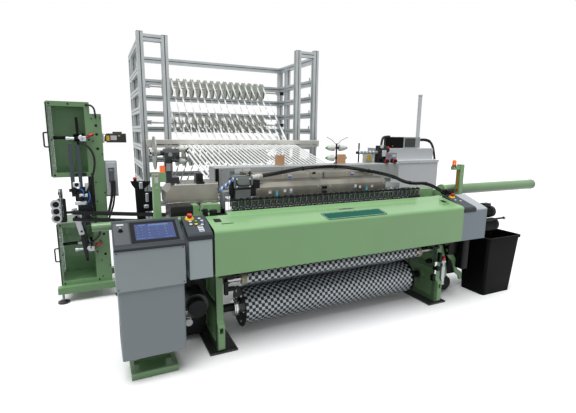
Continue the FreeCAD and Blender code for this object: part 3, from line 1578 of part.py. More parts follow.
cord_nodes = ("hose_bundle",)
build()
box = FreeCAD.BoundBox()
for name, shape in parts.items():
    if name not in cord_nodes:
        box.add(shape.BoundBox)
origin = V((box.XMin + box.XMax) / 2, (box.YMin + box.YMax) / 2, box.ZMin)
os.makedirs("parts", exist_ok=True)
for name, shape in parts.items():
    shape.translate(origin * -1)
    shape.exportStep("parts/%s.step" % name)
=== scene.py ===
# %% [markdown]
# # A tape-weaving rapier loom
# This lesson dresses a CAD model of a rapier loom.  The CAD solids are a fixed frame: they carry every size
# and every joint.  Blender adds what a maker adds last: paint, brushed metal, the woven cloth, the screen, the
# screws and the wiring.

# %% The frame
import math

import bmesh
import bpy
import numpy as np
from mathutils import Matrix, Vector


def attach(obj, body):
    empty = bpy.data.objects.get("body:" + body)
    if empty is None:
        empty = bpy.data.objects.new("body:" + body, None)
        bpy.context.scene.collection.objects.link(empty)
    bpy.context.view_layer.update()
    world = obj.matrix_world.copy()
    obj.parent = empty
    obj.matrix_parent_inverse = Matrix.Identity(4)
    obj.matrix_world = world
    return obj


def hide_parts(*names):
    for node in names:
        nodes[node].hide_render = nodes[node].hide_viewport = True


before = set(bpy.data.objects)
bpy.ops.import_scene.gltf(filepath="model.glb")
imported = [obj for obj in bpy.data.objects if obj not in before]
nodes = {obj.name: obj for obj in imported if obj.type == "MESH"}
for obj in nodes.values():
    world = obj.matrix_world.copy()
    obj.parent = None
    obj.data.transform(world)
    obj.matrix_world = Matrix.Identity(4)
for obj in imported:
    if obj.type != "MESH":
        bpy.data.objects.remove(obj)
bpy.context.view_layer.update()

# %% [markdown]
# ## Units
# The loom was laid out in millimetres from its centre plane, the face of its front cover and the floor.  The
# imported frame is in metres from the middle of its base, so one function turns the first into the second and
# every place below can be read off the layout.  Six directions have names: the front looks to the weaver, the
# back to the creel.

# %% Millimetres to metres
HOME = np.array((251.0, 2127.0, 0.0))
MM = 0.001
RIGHT, BACK, UP = (1, 0, 0), (0, 1, 0), (0, 0, 1)
LEFT, FRONT, DOWN = (-1, 0, 0), (0, -1, 0), (0, 0, -1)


def metres(points):
    """Layout point, less the middle of the base, times a thousandth."""
    return (np.asarray(points, float) - HOME) * MM


print("the middle of the base lies at", HOME, "mm of the layout")

# %% [markdown]
# ## Camera
# The picture was taken from the weaver's left, a little above eye height, with a short lens.  The camera is
# turned by three angles: round to the right, down, and a slight lean.

# %% Camera
EYE = metres((-1800, -2460, 1600))
YAW, PITCH, LEAN = 0.448644362, 0.184659646, 0.0134252098
FOCAL_PIXELS, FRAME_WIDTH = 395.797, 576

ahead = Vector((math.sin(YAW) * math.cos(PITCH), math.cos(YAW) * math.cos(PITCH), -math.sin(PITCH)))
level = Vector((math.cos(YAW), -math.sin(YAW), 0))
above = level.cross(ahead)
right = math.cos(LEAN) * level + math.sin(LEAN) * above
up = -math.sin(LEAN) * level + math.cos(LEAN) * above
camera_data = bpy.data.cameras.new("photographer")
camera_data.sensor_width = 36
camera_data.lens = FOCAL_PIXELS / FRAME_WIDTH * camera_data.sensor_width
camera_data.clip_end = 60
camera = bpy.data.objects.new("photographer", camera_data)
camera.matrix_world = Matrix.Translation(Vector(EYE)) @ Matrix((right, up, -ahead)).transposed().to_4x4()
bpy.context.collection.objects.link(camera)
bpy.context.scene.camera = camera
print("lens", round(camera_data.lens, 2), "mm")

# %% [markdown]
# ## The hose
# A bundle of black air lines runs over the guards from the tape head to the right desk.  Its route is a few
# given points, and one smooth spline follows them.  Three thick lines lie round that spline in a slow
# twist, so the bundle reads as cables and not as one pipe.

# %% Hose route
def spline_through(name, points):
    """A smooth spline drawn by its control points, in layout millimetres."""
    curve = bpy.data.curves.new(name, "CURVE")
    curve.dimensions = "3D"
    curve.resolution_u = 16
    line = curve.splines.new("NURBS")
    line.points.add(len(points) - 1)
    placed = np.hstack([metres(points), np.ones((len(points), 1))])
    line.points.foreach_set("co", placed.ravel())
    line.use_endpoint_u = True
    line.order_u = 3
    made = bpy.data.objects.new(name, curve)
    bpy.context.collection.objects.link(made)
    return made


def traced(spline):
    """The points of a spline with no bevel, as Blender draws it, in metres."""
    bpy.context.view_layer.update()
    drawn = bpy.data.meshes.new_from_object(spline)
    found = np.zeros(len(drawn.vertices) * 3, "f")
    drawn.vertices.foreach_get("co", found)
    bpy.data.meshes.remove(drawn)
    return found.reshape(-1, 3).astype(float)


def run_length(line):
    """Sum of the distances between neighbouring points."""
    return float(np.linalg.norm(np.diff(line, axis=0), axis=1).sum())


hose_bends = [(-590, 562, 1247), (-330, 655, 1270), (105, 718, 1305), (500, 695, 1262),
              (790, 595, 1200), (955, 530, 1118), (1140, 411, 1140), (1292, 298, 988)]
hose_route = spline_through("hose_route", hose_bends)
hose_line = traced(hose_route)
bpy.data.objects.remove(hose_route)

# %% [markdown]
# ## Mesh from arrays
# A new surface starts as a grid of points with rows and columns.  Neighbouring points share a face, so faces
# are found by shifting one table of point numbers against itself.  The sign of the enclosed volume says
# whether the faces look outwards, and they are turned when they don't.

# %% Grid to faces
def skin(grid, around=True, capped=True, uv=None):
    """Faces between neighbouring points of a (rows, columns, 3) grid.

    around joins the last column to the first, and capped closes both end rows on their middle points.
    """
    grid = np.asarray(grid, float)
    if capped:
        first = grid[:1].mean(axis=1, keepdims=True).repeat(grid.shape[1], axis=1)
        last = grid[-1:].mean(axis=1, keepdims=True).repeat(grid.shape[1], axis=1)
        grid = np.concatenate([first, grid, last])
    rows, columns = grid.shape[:2]
    number = np.arange(rows * columns).reshape(rows, columns)
    if around:
        number = np.concatenate([number, number[:, :1]], axis=1)
    faces = np.stack([number[:-1, :-1], number[:-1, 1:], number[1:, 1:], number[1:, :-1]], axis=-1)
    faces = faces.reshape(-1, 4)
    points = grid.reshape(-1, 3)
    corner_uv = None
    if uv is not None:
        corner_uv = np.stack([uv[:-1, :-1], uv[:-1, 1:], uv[1:, 1:], uv[1:, :-1]], axis=2).reshape(-1, 4, 2)
    a, b, c, d = (points[faces[:, k]] - points.mean(axis=0) for k in range(4))
    volume = np.einsum("ij,ij->", a, np.cross(b, c)) + np.einsum("ij,ij->", a, np.cross(c, d))
    if volume < 0:
        faces = faces[:, ::-1]
        corner_uv = None if corner_uv is None else corner_uv[:, ::-1]
    return points, faces, corner_uv


# %% [markdown]
# A finished piece is one mesh with one finish.  It rides on one body of the loom, so it moves when that body
# is turned or slid.  Points that fall together are merged, and an edge is left sharp only where two faces meet
# at more than a given angle.

# %% A piece on its body
def piece(name, skins, finish_name, body="loom", smooth=35):
    """Join skins, in layout millimetres, to one object that rides on a body."""
    points = np.concatenate([s[0] for s in skins])
    starts = np.cumsum([0] + [len(s[0]) for s in skins[:-1]])
    faces = np.concatenate([s[1] + start for s, start in zip(skins, starts)])
    mesh = bpy.data.meshes.new(name)
    mesh.from_pydata(metres(points), [], faces)
    if skins[0][2] is not None:
        layer = mesh.uv_layers.new(name="lay")
        layer.data.foreach_set("uv", np.concatenate([s[2] for s in skins]).astype("f").ravel())
    shell = bmesh.new()
    shell.from_mesh(mesh)
    bmesh.ops.remove_doubles(shell, verts=shell.verts, dist=1e-7)
    bmesh.ops.dissolve_degenerate(shell, edges=shell.edges, dist=1e-7)
    shell.to_mesh(mesh)
    shell.free()
    mesh.shade_smooth()
    mesh.set_sharp_from_angle(angle=math.radians(smooth))
    made = bpy.data.objects.new(name, mesh)
    bpy.context.collection.objects.link(made)
    mesh.materials.append(finishes[finish_name])
    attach(made, body)
    print(name, len(mesh.polygons), "faces")
    return made


# %% [markdown]
# ## Shapes
# Three families of shape cover nearly every fitting on the machine: plates, turned pieces and pipes.  A plate
# is cut from sheet or milled.  It has a rounded outline and small bevels, because no real edge is sharp.  It
# could be a cube with a bevel modifier, but four rings of one outline give the same with fewer faces.

# %% Plates
def frame_of(normal, across=None):
    """Two unit vectors square to a normal: across, cleaned of its share along the normal, and their cross."""
    n = np.asarray(normal, float) / np.linalg.norm(normal)
    if across is None:
        across = UP if abs(n[2]) < 0.9 else RIGHT
    u = np.asarray(across, float)
    u = u - n * (u @ n)
    u /= np.linalg.norm(u)
    return u, np.cross(n, u), n


def outline(wide, tall, corner, steps=4):
    """A rectangle whose corners are quarter circles, with the outward direction at each point."""
    turn = (np.arange(4)[:, None] * 90 + np.linspace(0, 90, steps)[None, :]).ravel() * math.pi / 180
    out = np.stack([np.cos(turn), np.sin(turn)], axis=1)
    signs = np.array([(1, 1), (-1, 1), (-1, -1), (1, -1)]).repeat(steps, axis=0)
    return signs * (np.array((wide, tall)) / 2 - corner) + out * corner, out


def plate(foot, normal, wide, tall, thick, corner=3.0, bevel=0.8, across=RIGHT):
    """A flat piece on its foot point: four rings of its outline, drawn in by the bevel at both faces."""
    u, v, n = frame_of(normal, across)
    corner = min(corner, wide / 2, tall / 2)
    bevel = min(bevel, corner, thick / 2)
    ring, out = outline(wide, tall, corner)
    inset = np.array((bevel, 0, 0, bevel))[:, None, None]
    rise = np.array((0, bevel, thick - bevel, thick))[:, None, None]
    flat = ring[None] - out[None] * inset
    return skin(np.asarray(foot, float) + flat[..., :1] * u + flat[..., 1:] * v + rise * n)


# %% [markdown]
# A turned piece is a profile swept round an axis, as on a lathe.  With six corners it is a nut or a bolt head,
# and a screw is made of two turned shapes, its washer and its head.

# %% Turned pieces
def turned(foot, axis, profile, sides=24, corners=0):
    """A (distance, radius) profile swept round an axis; with corners, the circle is a polygon."""
    u, v, n = frame_of(axis)
    turn = np.arange(sides) * 2 * math.pi / sides
    reach = np.ones(sides)
    if corners:
        half = math.pi / corners
        reach = math.cos(half) / np.cos((turn % (2 * half)) - half)
    profile = np.asarray(profile, float)
    round_ = (np.cos(turn) * reach)[:, None] * u + (np.sin(turn) * reach)[:, None] * v
    grid = np.asarray(foot, float) + profile[:, None, :1] * n + profile[:, None, 1:] * round_
    return skin(grid)


def screw(foot, normal, size=6.0):
    """A washer and a six-cornered head, chamfered at the top."""
    washer = turned(foot, normal, [(0, size * 1.25), (size * 0.25, size * 1.25)], 18)
    head = turned(foot, normal, [(size * 0.2, size), (size * 0.8, size), (size, size * 0.85)], 18, 6)
    return [washer, head]


# %% [markdown]
# A bent handle or a cable follows a line.  The line is a smooth curve through a few chosen points, and a pipe
# is a circle carried along it.  A flat bar carries a rounded rectangle in the same way.

# %% Lines, pipes and bars
def smooth_line(points, count=24):
    """A curve through points: each stretch is a cubic whose end slopes come from the neighbours."""
    p = np.asarray(points, float)
    p = np.concatenate([2 * p[:1] - p[1:2], p, 2 * p[-1:] - p[-2:-1]])
    t = np.linspace(0, 1, count, endpoint=False)[:, None, None]
    a, b, c, d = p[:-3], p[1:-2], p[2:-1], p[3:]
    bend = 0.5 * (2 * b + (c - a) * t + (2 * a - 5 * b + 4 * c - d) * t ** 2 + (3 * b - a - 3 * c + d) * t ** 3)
    return np.concatenate([bend.transpose(1, 0, 2).reshape(-1, 3), p[-2:-1]])


def ways_of(line):
    """Unit directions along a line: half the step between the neighbours of each point, made one long."""
    along = np.gradient(line, axis=0)
    return along / np.linalg.norm(along, axis=1, keepdims=True)


def pipe(line, radius, sides=12, upward=UP):
    """A circle carried along a line, kept level by a fixed upward direction."""
    line = np.asarray(line, float)
    along = ways_of(line)
    side = np.cross(along, upward)
    side /= np.linalg.norm(side, axis=1, keepdims=True)
    top = np.cross(side, along)
    turn = np.arange(sides) * 2 * math.pi / sides
    radius = np.broadcast_to(np.asarray(radius, float), len(line))[:, None, None]
    ring = np.cos(turn)[None, :, None] * side[:, None] + np.sin(turn)[None, :, None] * top[:, None]
    return skin(line[:, None] + radius * ring)


def flat_bar(line, wide, thick, facing):
    """A rounded rectangle carried along a line; its width may change, and its flat side looks one way."""
    line = np.asarray(line, float)
    flat = np.cross(ways_of(line), facing)
    flat /= np.linalg.norm(flat, axis=1, keepdims=True)
    ring = outline(1, 1, 0.2, 3)[0]
    reach = flat[:, None] * np.asarray(wide, float)[:, None, None]
    return skin(line[:, None] + ring[None, :, :1] * reach + ring[None, :, 1:] * thick * np.asarray(facing, float))


# %% [markdown]
# Most fittings are rows of such shapes that face one way.  So a few more functions turn rows of numbers into a
# piece: a row gives the foot point first and the shape's own measures after it.

# %% Rows of fittings
def many(make, places, *values):
    """The skins of one shape made at each of many places."""
    made = [make(place, *values) for place in places]
    return [s for item in made for s in (item if isinstance(item, list) else [item])]


def plates(facing, rows):
    """A plate for each row: x, y, z of its foot, then width, height, thickness, corner and bevel."""
    across = BACK if facing in (LEFT, RIGHT) else RIGHT
    return [plate(row[:3], facing, *row[3:], across=across) for row in rows]


def lathed(axis, rows):
    """A turned shape for each row: x, y, z of its foot, then profile and sides."""
    return [turned(row[:3], axis, *row[3:]) for row in rows]


def flats(name, finish_name, facing, *rows, body="loom"):
    """A piece of plates that all face one way."""
    return piece(name, plates(facing, rows), finish_name, body)


def rounds(name, finish_name, axis, *rows, body="loom"):
    """A piece of turned shapes round parallel axes."""
    return piece(name, lathed(axis, rows), finish_name, body)


def bolts(name, finish_name, facing, size, spots):
    """A piece of screws of one size."""
    return piece(name, many(screw, spots, facing, size), finish_name)


# %% [markdown]
# ## Node tools
# A shader is a tree of nodes, and a few steps return in every tree: a sum, a stretch of values, a noise, a
# blend of two colours.  Each of them is one short function here, so a shader below reads as a recipe.

# %% Node tools
def add_node(tree, kind, feeds=None, **settings):
    """A new node with its settings, each input linked to a socket or set to a value."""
    made = tree.nodes.new(kind)
    for key, value in settings.items():
        setattr(made, key, value)
    for key, value in (feeds or {}).items():
        if isinstance(value, bpy.types.NodeSocket):
            tree.links.new(value, made.inputs[key])
        else:
            made.inputs[key].default_value = value
    return made


def maths(tree, operation, a, b=0.0, clamp=False):
    """One sum on two values."""
    return add_node(tree, "ShaderNodeMath", {0: a, 1: b}, operation=operation, use_clamp=clamp).outputs[0]


def times(tree, *factors):
    """The product of several values."""
    product = factors[0]
    for factor in factors[1:]:
        product = maths(tree, "MULTIPLY", product, factor)
    return product


def object_place(tree):
    """The Object coordinates of the point that is shaded."""
    return tree.nodes.new("ShaderNodeTexCoord").outputs["Object"]


def noise(tree, where, scale, detail):
    """A soft noise from 0 to 1."""
    return add_node(tree, "ShaderNodeTexNoise", {"Vector": where, "Scale": scale, "Detail": detail}).outputs["Fac"]


def axes_of(tree, vector):
    """The three parts of a vector, as outputs X, Y and Z."""
    return add_node(tree, "ShaderNodeSeparateXYZ", {0: vector}).outputs


def seen_directly(tree):
    """1 for a ray from the camera, off a mirror or through glass, and 0 for any other."""
    rays = tree.nodes.new("ShaderNodeLightPath").outputs
    direct = maths(tree, "ADD", rays["Is Camera Ray"], rays["Is Glossy Ray"], True)
    return maths(tree, "ADD", direct, rays["Is Transmission Ray"], True)


def blend_colour(tree, factor, a, b):
    """The colour a going over to b as the factor rises."""
    return add_node(tree, "ShaderNodeMix", {0: factor, 6: a, 7: b}, data_type="RGBA").outputs[2]


def spread(tree, value, low, high, to_low=0.0, to_high=1.0):
    """A value's stretch from low to high, laid over another stretch and clamped."""
    return add_node(tree, "ShaderNodeMapRange", {0: value, 1: low, 2: high, 3: to_low, 4: to_high}).outputs[0]


def new_group(name, inputs, outputs):
    """An empty shader group with named number inputs and outputs."""
    tree = bpy.data.node_groups.new(name, "ShaderNodeTree")
    for socket, value in inputs.items():
        made = tree.interface.new_socket(socket, in_out="INPUT", socket_type="NodeSocketFloat")
        made.default_value = value
    for socket in outputs:
        tree.interface.new_socket(socket, in_out="OUTPUT", socket_type="NodeSocketFloat")
    print("group", name, "gives", *outputs)
    return tree, tree.nodes.new("NodeGroupInput").outputs, tree.nodes.new("NodeGroupOutput").inputs


# %% [markdown]
# ## Floor and light
# The loom stands on a plain pale floor.  A broad, very soft light comes from above and a little from the
# weaver's side, and the sky fills the shadows.  Where the camera, a mirror or a pane of glass sees past the
# floor, the sky is plain white.

# %% Floor and light
scene = bpy.context.scene
scene.view_settings.view_transform = "Standard"
world = bpy.data.worlds.new("studio")
scene.world = world
world.use_nodes = True
sky = world.node_tree
sky.nodes.clear()
FILL, PLAIN_WHITE = 0.37, 1.0
strength = spread(sky, seen_directly(sky), 0.0, 1.0, FILL, PLAIN_WHITE)
background = add_node(sky, "ShaderNodeBackground", {"Color": (1, 1, 1, 1), "Strength": strength})
sky_out = sky.nodes.new("ShaderNodeOutputWorld")
sky.links.new(background.outputs[0], sky_out.inputs["Surface"])

lamp_data = bpy.data.lights.new("overhead", "SUN")
LIGHT, SOFTNESS, FROM_WEAVER, FROM_LEFT = 2.62, 40, 14, -10
lamp_data.energy = LIGHT
lamp_data.angle = math.radians(SOFTNESS)
lamp = bpy.data.objects.new("overhead", lamp_data)
lamp.rotation_euler = (math.radians(FROM_WEAVER), math.radians(FROM_LEFT), 0)
bpy.context.collection.objects.link(lamp)

FLOOR_REACH, FLOOR_DROP = 30.0, 0.0005
floor_mesh = bpy.data.meshes.new("floor")
corners = np.array([(-1, -1, 0), (1, -1, 0), (1, 1, 0), (-1, 1, 0)]) * FLOOR_REACH
floor_mesh.from_pydata(corners - (0, 0, FLOOR_DROP), [], [(0, 1, 2, 3)])
floor = bpy.data.objects.new("floor", floor_mesh)
bpy.context.collection.objects.link(floor)
print("sun", LIGHT, "floor", 2 * FLOOR_REACH, "m wide")

# %% [markdown]
# ## Shader groups
# Several finishes need the same small effects, so each effect is one node group with named values.  A group
# gives out only a mask, a height or a tone; the shader itself stays in each material.
# The paint group gives two noises on Object coordinates: a fine one for the orange-peel skin of sprayed
# paint, and a broad one for slow changes of tone.

# %% Paint skin
paint_skin, given, gives = new_group("paint_skin", {"Grain": 500.0, "Patch": 2.0}, ("Height", "Tone"))
place = object_place(paint_skin)
paint_skin.links.new(noise(paint_skin, place, given["Grain"], 2.0), gives["Height"])
paint_skin.links.new(noise(paint_skin, place, given["Patch"], 4.0), gives["Tone"])

# %% [markdown]
# Worn edges are found by comparing the true normal with one rounded over a small radius: on a flat face they
# agree, at an edge they part.  A noise breaks the line, because wear is never even.

# %% Edge wear
edge_wear, given, gives = new_group("edge_wear", {"Width": 0.004, "Break": 40.0}, ("Mask",))
rounded = add_node(edge_wear, "ShaderNodeBevel", {"Radius": given["Width"]}, samples=4)
true_normal = edge_wear.nodes.new("ShaderNodeNewGeometry").outputs["Normal"]
agree = add_node(edge_wear, "ShaderNodeVectorMath", {0: rounded.outputs[0], 1: true_normal},
                 operation="DOT_PRODUCT").outputs["Value"]
part = spread(edge_wear, agree, 0.98, 0.75)
broken = spread(edge_wear, noise(edge_wear, object_place(edge_wear), given["Break"], 5.0), 0.42, 0.62)
edge_wear.links.new(times(edge_wear, part, broken), gives["Mask"])

# %% [markdown]
# Lint and dust settle on faces that look up, and a little more near the floor.  Dust could be modelled as
# grains, but from a few metres it is only a change of tone, so a cloudy noise is multiplied by both shares.

# %% Shop dust
shop_dust, given, gives = new_group("shop_dust", {"Scale": 14.0}, ("Mask",))
normal = shop_dust.nodes.new("ShaderNodeNewGeometry").outputs["Normal"]
place = object_place(shop_dust)
looks_up = spread(shop_dust, axes_of(shop_dust, normal)["Z"], 0.3, 1.0)
low_down = spread(shop_dust, axes_of(shop_dust, place)["Z"], 0.5, 0.0, 0.25, 1.0)
cloud = noise(shop_dust, place, given["Scale"], 6.0)
shop_dust.links.new(times(shop_dust, looks_up, low_down, cloud), gives["Mask"])

# %% [markdown]
# Rolled, drawn or brushed metal carries fine lines one way.  The point is multiplied by three numbers before
# the noise reads it: a large one squeezes the noise along its axis, and a small one leaves it long.

# %% Metal lines
metal_lines, given, gives = new_group(
    "metal_lines", {"Along X": 4.0, "Along Y": 300.0, "Along Z": 300.0}, ("Height", "Tone"))
squeeze = add_node(metal_lines, "ShaderNodeCombineXYZ",
                   {0: given["Along X"], 1: given["Along Y"], 2: given["Along Z"]})
place = object_place(metal_lines)
pulled = add_node(metal_lines, "ShaderNodeVectorMath", {0: place, 1: squeeze.outputs[0]}, operation="MULTIPLY")
metal_lines.links.new(noise(metal_lines, pulled.outputs[0], 1.0, 4.0), gives["Height"])
metal_lines.links.new(noise(metal_lines, place, 5.0, 5.0), gives["Tone"])

# %% [markdown]
# One CAD node can hold parts of several colours, such as a frame and its black floor plates.  A box in Object
# coordinates picks one of them out: the group answers 1 where a point lies inside it.  The same boxes also lay
# painted shade and painted light on some parts.

# %% Inside a box
box_values = {word + " " + axis: 0.0 for word in ("Middle", "Half") for axis in "XYZ"}
in_box, given, gives = new_group("in_box", box_values, ("Mask",))
place = axes_of(in_box, object_place(in_box))
inside = [add_node(in_box, "ShaderNodeMath", {0: place[axis], 1: given["Middle " + axis], 2: given["Half " + axis]},
                   operation="COMPARE").outputs[0] for axis in "XYZ"]
in_box.links.new(times(in_box, *inside), gives["Mask"])

# %% [markdown]
# ## Finishes
# One function mixes a finish from those groups.  A colour is written as it looks on a screen, 0 to 255, and
# turned into the linear light that the shader works in.

# %% Colours and groups in a material
def colour(red, green, blue):
    """Screen values as linear light: divided by 255 and raised to the power 2.2."""
    return tuple((c / 255) ** 2.2 for c in (red, green, blue)) + (1.0,)


def use(tree, group, **values):
    """A group placed in a material, with its values."""
    made = tree.nodes.new("ShaderNodeGroup")
    made.node_tree = group
    for key, value in values.items():
        made.inputs[key.replace("_", " ")].default_value = value
    return made.outputs


def principled(material):
    """The main shader node of a material."""
    return next(n for n in material.node_tree.nodes if n.type == "BSDF_PRINCIPLED")


def box_mask(tree, low, high):
    """The in_box mask of two opposite corners, in layout millimetres."""
    middle, half = metres(np.add(low, high) / 2), np.subtract(high, low) * MM / 2
    values = {"Middle_" + axis: middle[k] for k, axis in enumerate("XYZ")}
    values.update({"Half_" + axis: half[k] for k, axis in enumerate("XYZ")})
    return use(tree, in_box, **values)["Mask"]


# %% [markdown]
# A finish starts from its base colour.  A slow noise makes it a little deeper here and paler there, boxes give
# some parts another colour, edges wear and dust settles.  The same noise changes the gloss, and the fine
# grain or the metal's lines become a bump.  One function with a few values serves every material of the loom.

# %% Finish maker
finishes = {}
DUST = (196, 194, 188)
TONE_LOW, TONE_HIGH, GLOSS_STEP, SMOOTHEST = 0.3, 0.7, 0.06, 0.02


def finish(name, base, rough=0.5, metal=0.0, vary=0.10, grain=500.0, bump=0.05, wear=0.0, worn=(205, 210, 205),
           dust=0.0, lines=None, zones=(), **sockets):
    """A material: tone varies the base colour, wear shows at edges, dust on top, grain or lines as bump.

    zones are (colour, low corner, high corner): inside that box the base colour is another one.
    """
    made = bpy.data.materials.new(name)
    made.use_nodes = True
    tree = made.node_tree
    tree.nodes.clear()
    shader = tree.nodes.new("ShaderNodeBsdfPrincipled")
    shader.inputs["Metallic"].default_value = metal
    for key, value in sockets.items():
        shader.inputs[key.replace("_", " ")].default_value = value
    if lines:
        skin_out = use(tree, metal_lines, Along_X=lines[0], Along_Y=lines[1], Along_Z=lines[2])
    else:
        skin_out = use(tree, paint_skin, Grain=grain)
    deep = colour(*[c * (1 - vary) for c in base])
    pale = colour(*[c * (1 + vary) for c in base])
    shade = blend_colour(tree, spread(tree, skin_out["Tone"], TONE_LOW, TONE_HIGH), deep, pale)
    for tint, low, high in zones:
        shade = blend_colour(tree, box_mask(tree, low, high), shade, colour(*tint))
    for group, amount, tint in ((edge_wear, wear, worn), (shop_dust, dust, DUST)):
        if amount:
            shade = blend_colour(tree, times(tree, use(tree, group)["Mask"], amount), shade, colour(*tint))
    tree.links.new(shade, shader.inputs["Base Color"])
    smoothest = max(rough - GLOSS_STEP, SMOOTHEST)
    gloss = spread(tree, skin_out["Tone"], TONE_LOW, TONE_HIGH, smoothest, rough + GLOSS_STEP)
    tree.links.new(gloss, shader.inputs["Roughness"])
    relief = add_node(tree, "ShaderNodeBump", {"Strength": bump, "Distance": 0.001, "Height": skin_out["Height"]})
    tree.links.new(relief.outputs[0], shader.inputs["Normal"])
    end = tree.nodes.new("ShaderNodeOutputMaterial")
    tree.links.new(shader.outputs[0], end.inputs["Surface"])
    finishes[name] = made
    return made


# %% [markdown]
# The loom is sprayed in one light green; the tower, the tubes and the console base take a darker copy of it as
# painted shade.  Its panels are grey textured powder coat, the desks are charcoal moulded plastic, and the
# guards are bare stainless sheet with grinding lines along the loom's width.

# %% Finishes of the loom
BLACK, SILVER, DESK_LIP, SHADE_GREEN = (17, 18, 20), (168, 172, 174), (42, 48, 53), (50, 68, 50)
TUBE_GREY, CONE_PALE, CONE_TIP = (78, 86, 94), (226, 230, 226), (92, 186, 104)
SPRAYED = dict(bump=0.06, wear=0.3, Coat_Weight=0.2)
finish("green_paint", (132, 172, 122), 0.38, vary=0.035, dust=0.04, **SPRAYED)
# Painted shade on the side frames: a deep green on the left frame's outer part, a darker green on the right frame's
# inner face, and black on both frames under the cover.  The black floor plates are their own colour.
finish("frame_paint", (126, 166, 118), 0.38, vary=0.05, bump=0.06, wear=0.35, dust=0.04, Coat_Weight=0.2,
       zones=[(SHADE_GREEN, (-1300, 172, 15), (-1094, 1600, 1000)),
              ((92, 124, 88), (1000, 172, 15), (1046, 1600, 1000)),
              (BLACK, (-1300, 100, -1), (1300, 1600, 15.6)), (BLACK, (-1052, 150, 560), (1052, 1600, 1000))])
finish("housing_paint", (132, 172, 122), 0.38, vary=0.05, **SPRAYED,
       zones=[(BLACK, (-1400, 200, 100), (-1192, 900, 1080)), (BLACK, (-1400, 506, 100), (-1092, 900, 1080)),
              (BLACK, (-1310, 200, 200), (-1097, 520, 440)), (BLACK, (1094, 560, 100), (1300, 900, 1080))])
# Painted shade: the tower takes the machine's green made darker, and the insides of its two boxes darker still.  The
# black foot and the silver plinth are their own colours.
finish("tower_paint_shaded", (112, 150, 106), 0.38, vary=0.05, **SPRAYED,
       zones=[(BLACK, (-1906, 1660, 752), (-1836, 2060, 1175)), (BLACK, (-2300, 1500, -1), (-1600, 2100, 30)),
              (SILVER, (-2300, 1500, 30), (-1600, 2100, 87.5)),
              ((92, 118, 104), (-2162, 1650, 1188), (-1846, 2046, 1832)),
              ((84, 110, 88), (-2162, 1650, 162), (-1846, 2046, 740))])
# Painted shade: the tubes and the console base take the machine's green made darker.
finish("tube_green_shaded", (112, 150, 104), 0.34, vary=0.04, bump=0.05, wear=0.3, Coat_Weight=0.3)
finish("green_cover", (133, 179, 123), 0.34, vary=0.02, bump=0.04, Coat_Weight=0.3)
# Painted shade: the dark green of the sheet behind the reed's dents.
finish("reed_shade_green", (44, 62, 48), 0.5, vary=0.15, bump=0.1)
# Painted light and shade on the grey panels: the terminal's lower case is painted darker as shade and the left button
# panel lighter as light; the right cabinet's upper part is darker and bluer.
finish("panel_grey", (157, 167, 170), 0.5, vary=0.03, grain=900, bump=0.18, wear=0.15,
       zones=[((139, 148, 153), (-1770, -60, -1), (-1330, 400, 634)),
              ((172, 183, 187), (-1310, -60, 600), (-1140, 400, 1045)),
              ((136, 148, 158), (1140, -60, 600), (1460, 400, 1045))])
finish("beam_grey", (168, 173, 174), 0.48, vary=0.04, bump=0.06, wear=0.25, dust=0.25)
finish("desk_charcoal", (62, 70, 76), 0.48, vary=0.06, grain=1200, bump=0.2, wear=0.2, worn=(110, 116, 120),
       Specular_IOR_Level=0.3,
       zones=[((176, 182, 186), (1294, -20, 900), (1500, 300, 1100)),
              (DESK_LIP, (-1770, -60, 880), (-1330, -6, 932)), (DESK_LIP, (-1310, -60, 900), (-1140, 10, 960)),
              (DESK_LIP, (1140, -60, 900), (1293, 8, 960))])
finish("desk_grey", (78, 83, 87), 0.5, vary=0.06, grain=1200, bump=0.2)
finish("terminal_grey", (178, 188, 192), 0.45, vary=0.03, grain=900, bump=0.1,
       zones=[(BLACK, (-1745, 1640, 1470), (-1530, 1760, 1600)),
              ((104, 112, 116), (-1720, 1600, 1110), (-1660, 1651, 1250))])
# On the pale cabinet the upper box, from 1260 to 1409 mm high, is painted a little darker as shade; the other boxes
# are the display's own colours.
finish("cabinet_white", (214, 218, 222), 0.5, vary=0.02, grain=900, bump=0.15, dust=0.05,
       zones=[(BLACK, (1600, 1695, 1424), (1897, 1750, 1570)), (SILVER, (1897, 1686, 1424), (2195, 1750, 1570)),
              ((44, 52, 54), (1920, 1680, 1430), (2100, 1694, 1546)),
              ((200, 202, 205), (1560, 1660, 1260), (2440, 2060, 1409))])
print("finishes", len(finishes))

# %% [markdown]
# Bare metal comes stainless, steel or cast.  Drawn and rolled metal carries its lines along one axis, which
# three numbers give: a small one along the lines and a large one across them.

# %% Finishes of bare metal
finish("stainless", (132, 130, 121), 0.33, 0.92, vary=0.10, bump=0.12, lines=(3, 260, 260))
finish("steel", (178, 178, 176), 0.28, 1.0, vary=0.10, bump=0.05, lines=(4, 400, 400))
finish("bright_steel", (205, 206, 206), 0.16, 1.0, vary=0.06, bump=0.03, lines=(200, 8, 200))
finish("dull_steel", (128, 131, 132), 0.36, 0.9, vary=0.12, bump=0.1)
finish("disc_grey", (158, 162, 157), 0.4, 0.2, vary=0.06, bump=0.05)
finish("aluminium_x", (186, 191, 193), 0.42, 0.6, vary=0.05, bump=0.08, lines=(3, 420, 420))
finish("aluminium_z", (186, 191, 193), 0.42, 0.6, vary=0.05, bump=0.08, lines=(420, 420, 3))
finish("silver_cast", (176, 180, 184), 0.4, 0.8, vary=0.12, bump=0.25, grain=260)
finish("linkage_metal", (176, 180, 184), 0.35, 0.8, vary=0.1, bump=0.1,
       zones=[((196, 40, 34), (1100, 140, 422), (1160, 200, 470))])
finish("head_grey", (112, 119, 118), 0.42, 0.3, vary=0.08, bump=0.2, grain=260, wear=0.3, worn=(170, 174, 172),
       zones=[(BLACK, (-710, 500, 1080), (-648, 570, 1184)), (BLACK, (-876, 500, 1100), (-848, 560, 1250)),
              (BLACK, (-740, 500, 1257), (-680, 560, 1300))])
